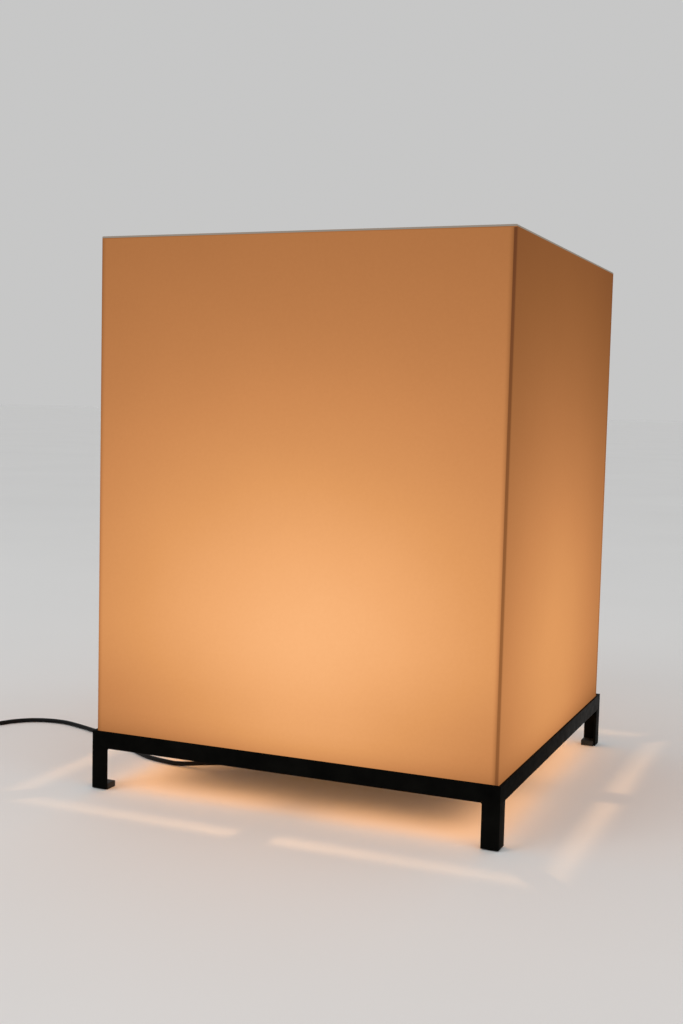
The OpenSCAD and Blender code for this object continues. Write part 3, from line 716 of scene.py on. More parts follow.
def copied(name, nodes, made_of):
    """A merged copy of one or more nodes of the packed model, as a piece that can be finished."""
    meshes = [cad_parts[node].data for node in nodes]
    mesh = mesh_of(*joined(
        ([v.co.copy() for v in each.vertices], [list(p.vertices) for p in each.polygons])
        for each in meshes
    ))
    shape = bmesh.new()
    shape.from_mesh(mesh)
    bmesh.ops.remove_doubles(shape, verts=shape.verts, dist=2 * MERGE)
    bmesh.ops.dissolve_limit(
        shape, angle_limit=radians(0.5), verts=shape.verts, edges=shape.edges
    )
    shape.to_mesh(mesh)
    shape.free()
    return keep(name, mesh, made_of)


def finish_node(node, made):
    """Gives a node of the packed model its material; its shape stays."""
    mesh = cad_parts[node].data
    mesh.materials.clear()
    mesh.materials.append(made)
    mesh.polygons.foreach_set("material_index", [0] * len(mesh.polygons))


# ------------------------------------------------------------------ Geometry Nodes


def node_tree(name, **sizes):
    """Makes a function into one that builds a tree once. The function gets the tree, its geometry
    and one output for each size, which is a named input; the geometry that it returns is realized
    and given its material."""

    def wrap(build):
        @cache
        def made():
            tree = bpy.data.node_groups.new(name, "GeometryNodeTree")

            def socket(label, kind, way="INPUT"):
                return tree.interface.new_socket(label, in_out=way, socket_type="NodeSocket" + kind)

            socket("Geometry", "Geometry")
            for label, value in sizes.items():
                kind = "Int" if isinstance(value, int) else "Float"
                socket(label.replace("_", " "), kind).default_value = value
            socket("Material", "Material")
            socket("Geometry", "Geometry", "OUTPUT")
            entry = add(tree, "NodeGroupInput").socket.node.outputs
            *given, material = [Value(tree, each) for each in entry if each.name]
            real = add(tree, "GeometryNodeRealizeInstances", {"Geometry": build(tree, *given)})
            inputs = {"Geometry": real, "Material": material}
            add(tree, "NodeGroupOutput", {0: add(tree, "GeometryNodeSetMaterial", inputs)})
            return tree

        return made

    return wrap


def seed(*lines):
    """An object of lines of points, for a tree to work on. A line may be a single point."""
    points, edges = [], []
    for line in lines:
        start = len(points)
        points += line
        edges += [(start + i, start + i + 1) for i in range(len(line) - 1)]
    return linked("seed", mesh_of(points, [], edges))


def grown(name, source, tree, made_of, angle=SMOOTH_BELOW, **sizes):
    """Runs a tree on a seed object and keeps what it makes as one plain mesh."""
    step = source.modifiers.new(tree.name, "NODES")
    step.node_group = tree
    values = {key.replace("_", " "): value for key, value in sizes.items()}
    values["Material"] = made_of
    for socket in tree.interface.items_tree:
        if socket.in_out == "INPUT" and socket.name in values:
            step[socket.identifier] = values.pop(socket.name)
    if values:
        raise RuntimeError(f"{name}: the tree has no input named {sorted(values)}")
    bpy.context.view_layer.update()
    ready = source.evaluated_get(bpy.context.evaluated_depsgraph_get())
    mesh = bpy.data.meshes.new_from_object(ready)
    bpy.data.objects.remove(source)
    if not len(mesh.polygons):
        raise RuntimeError(f"{name}: the tree made nothing")
    return keep(name, mesh, made_of, angle)


def instances(points, shape, **turn):
    """Copies of a shape on points, turned about X, Y or Z."""
    inputs = {"Points": points, "Instance": shape}
    if turn:
        euler = add(points.tree, "ShaderNodeCombineXYZ", turn)
        inputs["Rotation"] = add(points.tree, "FunctionNodeEulerToRotation", {0: euler})
    return add(points.tree, "GeometryNodeInstanceOnPoints", inputs)


def pipe(line, radius, sides, **more):
    """A closed body of round section along a curve."""
    circle = {"Resolution": sides, "Radius": radius}
    ring = add(line.tree, "GeometryNodeCurvePrimitiveCircle", circle)
    inputs = {"Curve": line, "Profile Curve": ring, "Fill Caps": True, **more}
    return add(line.tree, "GeometryNodeCurveToMesh", inputs)


def moved(geometry, rotation=(0, 0, 0), **shift):
    tree = geometry.tree
    place = add(tree, "ShaderNodeCombineXYZ", shift)
    inputs = {"Geometry": geometry, "Translation": place, "Rotation": rotation}
    return add(tree, "GeometryNodeTransform", inputs)


def rod(tree, radius, low, high, sides=24):
    inputs = {"Vertices": sides, "Radius": radius, "Depth": high - low}
    return moved(add(tree, "GeometryNodeMeshCylinder", inputs), Z=(low + high) * 0.5)


def cut(body, *tools):
    inputs = {"Mesh 1": body, "Mesh 2": list(tools)}
    return add(body.tree, "GeometryNodeMeshBoolean", inputs, operation="DIFFERENCE")


@node_tree("quarter_turns", Count=4, Spot_X=0.0, Spot_Y=0.0)
def quarter_turns(tree, shape, count, spot_x, spot_y):
    """Repeats a shape round the lamp's upright axis, and numbers each copy's side and spot."""
    line = add(tree, "GeometryNodeMeshLine", {"Count": count, "Offset": (0, 0, 0)})
    index = add(tree, "GeometryNodeInputIndex")
    copies = instances(line, shape, Z=index * tau / count)
    side = calc("MODULO", index, 2)
    # Along each wall the bright spot lies at X, Y, -X and -Y in turn
    spot = (spot_x + (spot_y - spot_x) * side) * (1 - calc("GREATER_THAN", index, 1.5) * 2)
    for label, value in (("side", side), ("spot", spot)):
        inputs = {"Geometry": copies, "Name": label, "Value": value}
        copies = add(
            tree, "GeometryNodeStoreNamedAttribute", inputs, data_type="FLOAT", domain="INSTANCE"
        )
    return copies


@node_tree("round_line", Diameter=0.0056, Sides=16)
def round_line(tree, line, diameter, sides):
    """Gives lines a round body: the cord, its cores and other wires."""
    return pipe(add(tree, "GeometryNodeMeshToCurve", {0: line}), diameter * 0.5, sides)


@node_tree("weld_beads", Radius=0.0011, Ripple=0.0012, Sides=12)
def weld_beads(tree, line, radius, ripple, sides):
    """Rippled weld beads along lines."""
    curve = add(tree, "GeometryNodeMeshToCurve", {0: line})
    points_per_ripple, depth = 6, 0.16
    inputs = {"Curve": curve, "Length": ripple / points_per_ripple}
    dense = add(tree, "GeometryNodeResampleCurve", inputs, mode="LENGTH")
    run = add(tree, "GeometryNodeSplineParameter", output="Length")
    swell = calc("ABSOLUTE", calc("SINE", run * pi / ripple))
    size = radius * (swell * depth + (1 - depth))
    sized = add(tree, "GeometryNodeSetCurveRadius", {"Curve": dense, "Radius": size})
    return pipe(sized, 1.0, sides, Scale=size)


@node_tree(
    "pan_screws", Head_Radius=0.0038, Head_Height=0.0024, Shank_Radius=0.002, Shank_Length=0.01,
    Slot=0.0008, Up=1.0,
)
def pan_screws(tree, points, radius, height, shank, run, slot, up):
    """Pan head screws with a cross recess; Up is 1 for a head on top and -1 for one below."""
    dome, past_head, facets = 2.3, 1.05, 48
    ball_radius = radius * dome
    inputs = {"Segments": facets, "Rings": facets, "Radius": ball_radius}
    ball = moved(add(tree, "GeometryNodeMeshUVSphere", inputs), Z=height - ball_radius)
    disc = rod(tree, radius, 0.0, height * 1.5, 32)
    head = add(tree, "GeometryNodeMeshBoolean", {"Mesh 2": [ball, disc]}, operation="INTERSECT")
    slots = []
    for x, y in ((radius * past_head, slot), (slot, radius * past_head)):
        size = add(tree, "ShaderNodeCombineXYZ", {"X": x, "Y": y, "Z": height})
        slots.append(moved(add(tree, "GeometryNodeMeshCube", {"Size": size}), Z=height))
    parts = [rod(tree, shank, run * -1, 0.0), cut(head, *slots)]
    return instances(points, add(tree, "GeometryNodeJoinGeometry", {0: parts}), X=(1 - up) * (pi / 2))


@node_tree("nuts", Radius=0.004, Hole=0.002, Height=0.0032)
def hexagon_nuts(tree, points, radius, hole, height):
    """Hexagon nuts, each with its hole."""
    body = rod(tree, radius, height * -1, 0.0, 6)
    return instances(points, cut(body, rod(tree, hole, height * -2, height)))


@node_tree("return_spring", Radius=0.0046, Wire=0.0007, Turns=5.0, Height=0.0174)
def return_spring(tree, points, radius, wire, turns, height):
    """A coil spring of round wire, standing on its first turn."""
    inputs = {"Resolution": 40, "Rotations": turns, "Height": height}
    inputs |= {"Start Radius": radius, "End Radius": radius}
    return instances(points, pipe(add(tree, "GeometryNodeCurveSpiral", inputs), wire, 12))


@node_tree("light_sources", Count=4, Ring=0.007, Length=0.03, Stick=0.0009, Lead=0.0003, Stem=0.0012)
def light_sources(tree, points, count, ring, run, stick, lead, stem):
    """Upright sticks on a ring round the point, each with a lead at its top and bottom."""
    half, inward = run * 0.5, ring - stem
    gap, post_height, sides = 0.0012, 0.0016, 10
    parts = [rod(tree, stick, half * -1, half, 16)]
    for end in SIDES:
        level = (half + gap) * end
        post = rod(tree, lead, 0.0, post_height, sides)
        inputs = {"Vertices": sides, "Radius": lead, "Depth": inward + lead}
        arm = add(tree, "GeometryNodeMeshCylinder", inputs)
        parts.append(moved(post, Z=level + (-post_height / 2 - 0.0005 * end)))
        parts.append(moved(arm, (0, pi / 2, 0), X=inward * -0.5, Z=level))
    whole = add(tree, "GeometryNodeJoinGeometry", {0: parts})
    circle = add(tree, "GeometryNodeMeshCircle", {"Vertices": count, "Radius": ring})
    x, y, _ = split(add(tree, "GeometryNodeInputPosition"))
    return instances(points, instances(circle, whole, Z=calc("ARCTAN2", y, x)), Z=pi / 4)


# ------------------------------------------------------------------ cord route

MM = 0.001
# The same points as in the part's source, in millimetres
ROUTE_TO_SWITCH = (
    (0, 0, 32), (0, 0, 29), (-1.5, -2, 18.5), (-6, -7, 10), (-13, -15, 5), (-22, -25, 3.5),
    (-36, -41, 3.5), (-56, -64, 5), (-82, -90, 9), (-112, -108, 12), (-142, -117, 11.5),
    (-166, -120, 9), (-204, -120, 3.5), (-226, -118, 3), (-256, -110, 3), (-286, -93, 3),
    (-352, -49, 3), (-386, -31, 3), (-441, -11, 3), (-466, -8, 3), (-488, -12, 3),
    (-507, -22, 3), (-522, -38, 3), (-533, -58, 3), (-545, -78, 4), (-557, -98, 7),
    (-560, -112, 8), (-560, -122, 8),
)
ROUTE_TO_COIL = (
    (-560, -198, 8), (-560, -203, 8), (-562, -216, 6.5), (-569, -229, 4), (-581, -239, 3),
    (-600, -245, 3), (-634, -246, 3),
)
ROUTE_TO_PLUG = (
    (-646, -246, 9.5), (-656, -246, 9.5), (-674, -243, 7), (-692, -234, 4), (-706, -219, 3),
    (-713, -201, 4), (-714, -187, 7), (-714, -174, 7),
)
INTO_SWITCH = Vector((0, -14, 0)) * MM
SWITCH = Vector((-560, -160, 0)) * MM
SPOUT = SWITCH + Vector((0, 0, 8)) * MM
PLUG = Vector(ROUTE_TO_PLUG[-1]) * MM


def smooth_route(points, steps=8):
    """A smooth curve through a route, straight on the stretch at either end."""
    p = [Vector(q) * MM for q in points]
    out = [p[0]]
    for i in range(1, len(p) - 2):
        a, b, c, d = p[i - 1:i + 3]
        for k in range(steps):
            t = k / steps
            bend = (2 * a - 5 * b + 4 * c - d) * t**2 + (3 * b - a - 3 * c + d) * t**3
            out.append(0.5 * (2 * b + (c - a) * t + bend))
    return out + [p[-2], p[-1]]


def coil_route(cord):
    """The coil: in along the floor to its middle and out again on top of those turns."""
    start, end = Vector(ROUTE_TO_COIL[-1]) * MM, Vector(ROUTE_TO_PLUG[0]) * MM
    half, turn_in, per_turn, lead_in = cord.coil_turns / 2, 0.15, 48, 0.006
    centre = Vector((start.x - lead_in, start.y + cord.coil_radius))
    inner = cord.coil_radius - cord.coil_step * hypot(half, turn_in)
    out = [start]
    for i in range(cord.coil_turns * per_turn + 1):
        turns = i / per_turn
        radius = inner + cord.coil_step * hypot(turns - half, turn_in)
        climb = min(1, max(0, (turns - half + 0.25) / 0.5))
        height = start.z + (end.z - start.z) * (3 * climb**2 - 2 * climb**3)
        a = -pi / 2 - tau * turns
        out.append(Vector((centre.x + radius * cos(a), centre.y + radius * sin(a), height)))
    return out + [end]


def route_length(path):
    return sum((b - a).length for a, b in zip(path, path[1:]))


# ------------------------------------------------------------------ operators

CORNERS = ((-1, -1), (1, -1), (1, 1), (-1, 1))
CUT_EDGE = 0.0003
# How far the plate's screws stand from its middle, and the diameter of their thread
SCREW_CIRCLE, PLATE_SCREW = 0.12, 0.004


class PieceOperator:
    bl_options = {"REGISTER", "UNDO"}


def angle_section(steel, inset=0.0):
    """Section of the steel angle, from its outer corner, with its rounded heel, toes and root."""
    e, t, w = inset, steel.thickness - inset, FLANGE - inset
    return softened(
        [(e, e, steel.heel), (w, e, 0.0002), (w, t, steel.toe), (t, t, steel.root),
         (t, w, steel.toe), (e, w, 0.0002)], 4
    )


class LAMP_OT_steel_frame(PieceOperator, bpy.types.Operator):
    """Builds the four mitred rails, the four legs and the weld beads of the steel frame"""

    bl_idname = "column_lamp.steel_frame"
    bl_label = "Steel frame"

    def execute(self, context):
        steel = context.scene.lamp_steel
        section = [
            (HALF_FRAME - max(d, steel.heel), max(0, steel.heel - d), RAIL_LOW + up)
            for d, up in angle_section(steel)
        ]
        rings = []
        for k, (sx, sy) in enumerate(CORNERS):
            for a in (radians(180 + 90 * k + turn) for turn in (0, 30, 60, 90)):
                rings.append([(sx * d + r * cos(a), sy * d + r * sin(a), z) for d, r, z in section])
        rails = keep("frame_rails", loft(rings, loop=True), black_paint())
        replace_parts(rails, "rail_front", "rail_right", "rail_back", "rail_left")
        low = lower("leg_front_left")
        rings = [
            [(a - HALF_FRAME, b - HALF_FRAME, z) for a, b in angle_section(steel, inset)]
            for inset, z in ((CUT_EDGE, low), (0, low + CUT_EDGE), (0, RAIL_LOW + steel.heel))
        ]
        leg = keep("leg_seed", loft(rings), black_paint())
        legs = grown("frame_legs", leg, quarter_turns(), black_paint())
        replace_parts(legs, "leg_front_left", "leg_front_right", "leg_back_right", "leg_back_left")
        # A bead inside the angle and one across each end, as distances from the frame's corner
        t, w, r = steel.thickness, FLANGE, steel.bead
        sunk, past, near, far = r * 0.3, w + r * 0.2, r * 1.1, t - r * 0.9
        offsets = (
            ((w - steel.toe, t + sunk), (t + r, t + sunk), (t + sunk, t + r), (t + sunk, w - steel.toe)),
            ((past, near), (past, far)),
            ((near, past), (far, past)),
        )
        lines = [
            [(sx * (HALF_FRAME - a), sy * (HALF_FRAME - b), RAIL_LOW - sunk) for a, b in line]
            for sx, sy in CORNERS for line in offsets
        ]
        beads = grown(
            "weld_beads", seed(*lines), weld_beads(), black_paint(), 60, Radius=r, Ripple=steel.ripple
        )
        for piece in (rails, legs, beads):
            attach(piece, "base")
        return {"FINISHED"}


class LAMP_OT_glides(PieceOperator, bpy.types.Operator):
    """Builds the plastic glide block inside the foot of each leg"""

    bl_idname = "column_lamp.glides"
    bl_label = "Glide blocks"

    def execute(self, context):
        steel = context.scene.lamp_steel
        a, b = steel.thickness - HALF_FRAME, FLANGE - HALF_FRAME
        outline = softened([(a, a, steel.root), (b, a, 0.0006), (b, b, 0.0012), (a, b, 0.0006)], 4)
        block = keep("glide_seed", prism(outline, *both("foot_front_left")), glide_plastic())
        glides = grown("glide_blocks", bevel(block, 0.0005, 3), quarter_turns(), glide_plastic())
        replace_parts(glides, "foot_front_left", "foot_front_right", "foot_back_right", "foot_back_left")
        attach(glides, "base")
        return {"FINISHED"}


class LAMP_OT_plate(PieceOperator, bpy.types.Operator):
    """Builds the plate, the flat bars that carry it and the screws and nuts between them"""

    bl_idname = "column_lamp.plate"
    bl_label = "Plate and bars"

    def execute(self, context):
        nodes = ["cross_bar_long", "cross_bar_front", "cross_bar_back"]
        bars = copied("plate_bars", nodes, black_paint())
        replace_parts(bevel(bars, 0.0003), "cross_bar_long", "cross_bar_front", "cross_bar_back")
        plate = copied("plate", ["bottom_plate"], black_paint())
        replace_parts(bevel(plate, 0.0003), "bottom_plate")
        radius = (upper("plate_screws", Y) - lower("plate_screws", Y)) / 2 - SCREW_CIRCLE
        place = upper("plate_screws", X) - radius
        spots = [(place, 0), (0, place), (-place, 0), (0, -place)]
        low, high = both("plate_screws")
        screws = grown(
            "plate_screw_set", seed(*([(x, y, PLATE_TOP)] for x, y in spots)), pan_screws(),
            metal("zinc_plate"), Head_Radius=radius, Head_Height=high - PLATE_TOP,
            Shank_Radius=PLATE_SCREW / 2, Shank_Length=PLATE_TOP - low,
        )
        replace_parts(screws, "plate_screws")
        low, high = both("plate_nuts")
        nuts = grown(
            "plate_nut_set", seed(*([(x, y, high)] for x, y in spots)), hexagon_nuts(),
            metal("zinc_plate"), Radius=upper("plate_nuts", X) - place, Hole=PLATE_SCREW / 2,
            Height=high - low,
        )
        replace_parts(bevel(nuts, 0.00025), "plate_nuts")
        for piece in (bars, plate, screws, nuts):
            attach(piece, "base")
        return {"FINISHED"}


class LAMP_OT_shade(PieceOperator, bpy.types.Operator):
    """Builds the opal box: four walls, each covering the next one's edge, and the top sheet"""

    bl_idname = "column_lamp.shade"
    bl_label = "Opal box"

    def execute(self, context):
        opal = context.scene.lamp_shade
        outer, inner, end = -HALF_SHADE, OPAL_SHEET - HALF_SHADE, HALF_SHADE - OPAL_SHEET
        corners = [(outer, outer), (end, outer), (end, inner), (outer, inner)]
        board = mesh_of(*prism(corners, SHADE_LOW, SHEET_LOW))
        sheet = board.uv_layers.new(name="sheet")
        for face in board.polygons:
            cut_face = abs(face.normal.x) > 0.9 and face.center.x < 0
            for loop in face.loop_indices:
                at = board.vertices[board.loops[loop].vertex_index].co
                sheet.data[loop].uv = (at.x - CUT_FACE if cut_face else at.x, at.z)
        wall = bevel(keep("wall_seed", board, opal_wall()), opal.edge_round)
        walls = grown(
            "opal_walls", wall, quarter_turns(), opal_wall(), Spot_X=opal.glow_x, Spot_Y=opal.glow_y
        )
        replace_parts(walls, "shade_front", "shade_right", "shade_back", "shade_left")
        top = copied("opal_top_sheet", ["shade_top"], opal_top())
        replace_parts(bevel(top, 0.0002, 2, 20), "shade_top")
        for piece in (walls, top):
            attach(piece, "shade")
        return {"FINISHED"}


class LAMP_OT_holder(PieceOperator, bpy.types.Operator):
    """Builds the lamp holder: cap, threaded collar, porcelain core, screw shell and contacts"""

    bl_idname = "column_lamp.holder"
    bl_label = "Lamp holder"

    def execute(self, context):
        radius, wall = upper("holder_cap", X), 0.0022
        inner, joint = radius - wall, upper("holder_cap")
        core_top, top = both("holder_shell")
        ledge, floor = PLATE_TOP + 0.012, PLATE_TOP + 0.003
        bore, step = context.scene.lamp_cord.diameter / 2 + 0.001, inner - 0.0033
        cap = keep("holder_base", turned(
            [(bore, PLATE_TOP, 0.0003), (radius, PLATE_TOP, 0.002), (radius, joint, 0.0004),
             (inner, joint, 0.0004), (inner, ledge, 0.0003), (step, ledge, 0.0004),
             (step, floor, 0.0003), (bore, floor, 0.0003)], 96, 4,
        ), black_moulding())
        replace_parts(cap, "holder_cap")
        neck, mouth, rim = inner - 0.0002, radius - 0.005, radius - 0.0005
        rib_count, rib_depth, rib_low, rib_high = 30, 0.00045, joint + 0.0035, top - 0.0105

        def ribbed(angle, r, z):
            if r < (radius + inner) / 2 or not rib_low < z < rib_high:
                return r
            return r - rib_depth * wave(rib_count * angle / tau + 0.5) ** 2

        collar = keep("holder_collar", turned(
            [(neck - wall, core_top, 0.0003), (neck, core_top, 0.0003), (neck, joint, 0.0002),
             (radius, joint, 0.0005), (radius, joint + 0.003, 0.0006), (radius, joint + 0.0045, 0.0008),
             (radius, top - 0.012, 0.0008), (radius, top - 0.0095, 0.0008), (rim, top - 0.004, 0.0015),
             (rim, top, 0.0032), (mouth, top, 0.0006), (mouth, top - wall, 0.0006),
             (inner - 0.0006, top - 2 * wall, 0.001), (inner, joint + 0.003, 0.001),
             (neck - wall, joint + 0.001, 0.0004)], 240, 4, shape=ribbed,
        ), black_moulding())
        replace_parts(collar, "holder_shell")
        low, high = both("holder_screws")
        place = 0.011
        screws = grown(
            "holder_screw_pair", seed(*([(side * place, 0, BAR_LOW)] for side in SIDES)), pan_screws(),
            metal("zinc_plate"), Head_Radius=upper("holder_screws", X) - place,
            Head_Height=BAR_LOW - low, Shank_Radius=0.0015, Shank_Length=high - BAR_LOW, Slot=0.0006,
            Up=-1.0,
        )
        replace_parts(screws, "holder_screws")
        for piece in (cap, collar, screws):
            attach(piece, "base")
        finish_node("holder_core", glazed_porcelain())
        for node in ("screw_shell", "centre_contact", "terminal_screws"):
            finish_node(node, metal("brass_sheet"))
        return {"FINISHED"}


# Where round the glass its neck meets the belly, and how many steps make each of them
BELLY_START, NECK_STEPS, BELLY_STEPS = radians(-52), 20, 36


def glass_outline(bulb, neck, foot, top, inset):
    """Half of the bulb's section: a curve from the neck to the belly and an arc to the top."""
    belly, a, r = top - bulb.radius, BELLY_START, bulb.radius - inset
    start, lean = Vector((neck, foot + 0.005)), Vector((neck + 0.001, foot + 0.016))
    end = Vector((bulb.radius * cos(a), belly + bulb.radius * sin(a)))
    near = end - 0.012 * Vector((-sin(a), cos(a)))
    out = [(neck - inset, foot)]
    for i in range(NECK_STEPS + 1):
        t, u = i / NECK_STEPS, 1 - i / NECK_STEPS
        p = u**3 * start + 3 * u**2 * t * lean + 3 * u * t**2 * near + t**3 * end
        out.append((p.x - inset, p.y))
    for b in (a + (pi / 2 - a) * i / BELLY_STEPS for i in range(1, BELLY_STEPS)):
        out.append((r * cos(b), belly + r * sin(b)))
    return out + [(0, top - inset)]


class LAMP_OT_bulb(PieceOperator, bpy.types.Operator):
    """Builds the bulb: glass, stem, light sources, threaded base and insulator"""

    bl_idname = "column_lamp.bulb"
    bl_label = "Bulb"

    def execute(self, context):
        bulb = context.scene.lamp_bulb
        foot, top = both("bulb_glass")
        flare = upper("bulb_stem", X)
        neck = flare + bulb.wall
        outside, inside = (glass_outline(bulb, neck, foot, top, inset) for inset in (0, bulb.wall))
        glass_piece = keep(
            "bulb_envelope", turned(outside + inside[::-1], 96), glass("bulb_clear_glass"), 60
        )
        glass_piece.visible_shadow = False
        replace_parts(glass_piece, "bulb_glass")

        root, crest, rim = 0.0121, 0.0131, upper("bulb_cap", X)
        low, high = both("bulb_cap")
        thread_top = high - 0.0025
        start = lower("bulb_contact") + 0.006

        def thread(angle, r, z):
            if abs(r - root) > TINY or z > thread_top - MERGE:
                return r
            fade = between(z, low + 0.0008, thread_top - 0.0012, 0.002)
            return root + (crest - root) * fade * wave((z - start) / bulb.pitch - angle / tau)

        base = keep("bulb_screw_base", turned(
            [(root, low + (thread_top - low) * i / 96) for i in range(97)]
            + [(rim, thread_top + 0.0012, 0.0006), (rim, high, 0.0003), (neck, high, 0.0002),
               (neck, high - 0.002, 0.0004), (root - 0.0004, high - 0.0026, 0.0004),
               (root - 0.0004, low)], 96, shape=thread,
        ), metal("nickel_shell"), 50)
        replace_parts(base, "bulb_cap")

        end, stem_top = LIGHT_HEIGHT - bulb.source_length / 2, upper("bulb_stem")
        stem = keep("bulb_glass_stem", turned(
            [(0, foot), (flare, foot, 0.0004), (flare, foot + 0.001, 0.0004),
             (0.0042, foot + 0.010, 0.004), (0.0026, end - 0.010, 0.003), (0.0012, end - 0.006, 0.002),
             (0.0012, stem_top - 0.002, 0.0006), (0.0022, stem_top - 0.0014, 0.0006),
             (0.0022, stem_top - 0.0004, 0.0006), (0, stem_top)], 48, 5,
        ), glass("stem_glass"), 60)
        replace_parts(stem, "bulb_stem")
        sources = grown(
            "bulb_light_sources", seed([(0, 0, LIGHT_HEIGHT)]), light_sources(), light_source(),
            Count=bulb.sources, Ring=bulb.source_ring, Length=bulb.source_length,
        )
        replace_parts(sources, "bulb_filaments")
        low, high = both("bulb_insulator")
        insulator = keep("bulb_base_insulator", turned(
            [(0, low), (0.0052, low, 0.0006), (root - 0.0012, high - 0.0032, 0.0012),
             (root, high - 0.002, 0.0004), (root - 0.0004, high - 0.002), (root - 0.0004, high, 0.0003),
             (0, high)], 72, 4,
        ), black_glass(), 40)
        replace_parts(insulator, "bulb_insulator")
        for piece in (glass_piece, base, stem, sources, insulator):
            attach(piece, "bulb")
        low, high = both("bulb_contact")
        r = upper("bulb_contact", X)
        tip = keep("bulb_tip_contact", turned(
            [(0, low), (r - 0.0014, low, 0.0012), (r, low + 0.0007, 0.0005), (r, high, 0.0002),
             (0, high)], 48, 4,
        ), metal("solder_dome"), 60)
        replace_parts(tip, "bulb_contact")
        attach(tip, "bulb_tip")
        return {"FINISHED"}


class LAMP_OT_strain_relief(PieceOperator, bpy.types.Operator):
    """Builds the tapered strain relief under the plate and the wiring above it"""

    bl_idname = "column_lamp.strain_relief"
    bl_label = "Strain relief and wiring"

    def execute(self, context):
        bore = context.scene.lamp_cord.diameter / 2
        low, high = both("cord_bush")
        collar, tail, waist = upper("cord_bush", X), BAR_LOW - 0.003, 0.0046
        outline = [(bore, low, 0.0003), (bore + 0.0009, low, 0.0005)]
        outline += ribs(6, (low, tail), (bore + 0.0011, bore + 0.0026), 0.0011, 0.0007, lip=0.0001)
        outline += [
            (collar - 0.0014, tail, 0.0008), (collar, tail + 0.001, 0.0008), (collar, BAR_LOW, 0.0003),
            (waist, BAR_LOW, 0.0002), (waist, high, 0.0004), (bore, high, 0.0003),
        ]
        bush = keep("strain_relief", turned(outline, 64), black_moulding())
        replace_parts(bush, "cord_bush")
        low, high = both("cord_stub")
        r = bore - 0.00005
        inner = keep("cord_inside_relief", turned(
            [(0, low), (r, low), (r, high, 0.0006), (0, high)], 32, 4
        ), cord_jacket())
        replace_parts(inner, "cord_stub")
        start, end = high / MM, (upper("core_wires") - 0.0008) / MM
        reach = upper("core_wires", X) / MM
        turns = ((1.3, start), (1.3, start + 0.8), (3.2, end - 0.7), (5, end), (reach, end))
        lines = [smooth_route([(side * x, 0, z) for x, z in turns], 6) for side in SIDES]
        cores = grown(
            "holder_cores", seed(*lines), round_line(), core_insulation(), Diameter=0.0015, Sides=12
        )
        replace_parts(cores, "core_wires")
        for piece in (bush, inner, cores):
            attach(piece, "base")
        return {"FINISHED"}


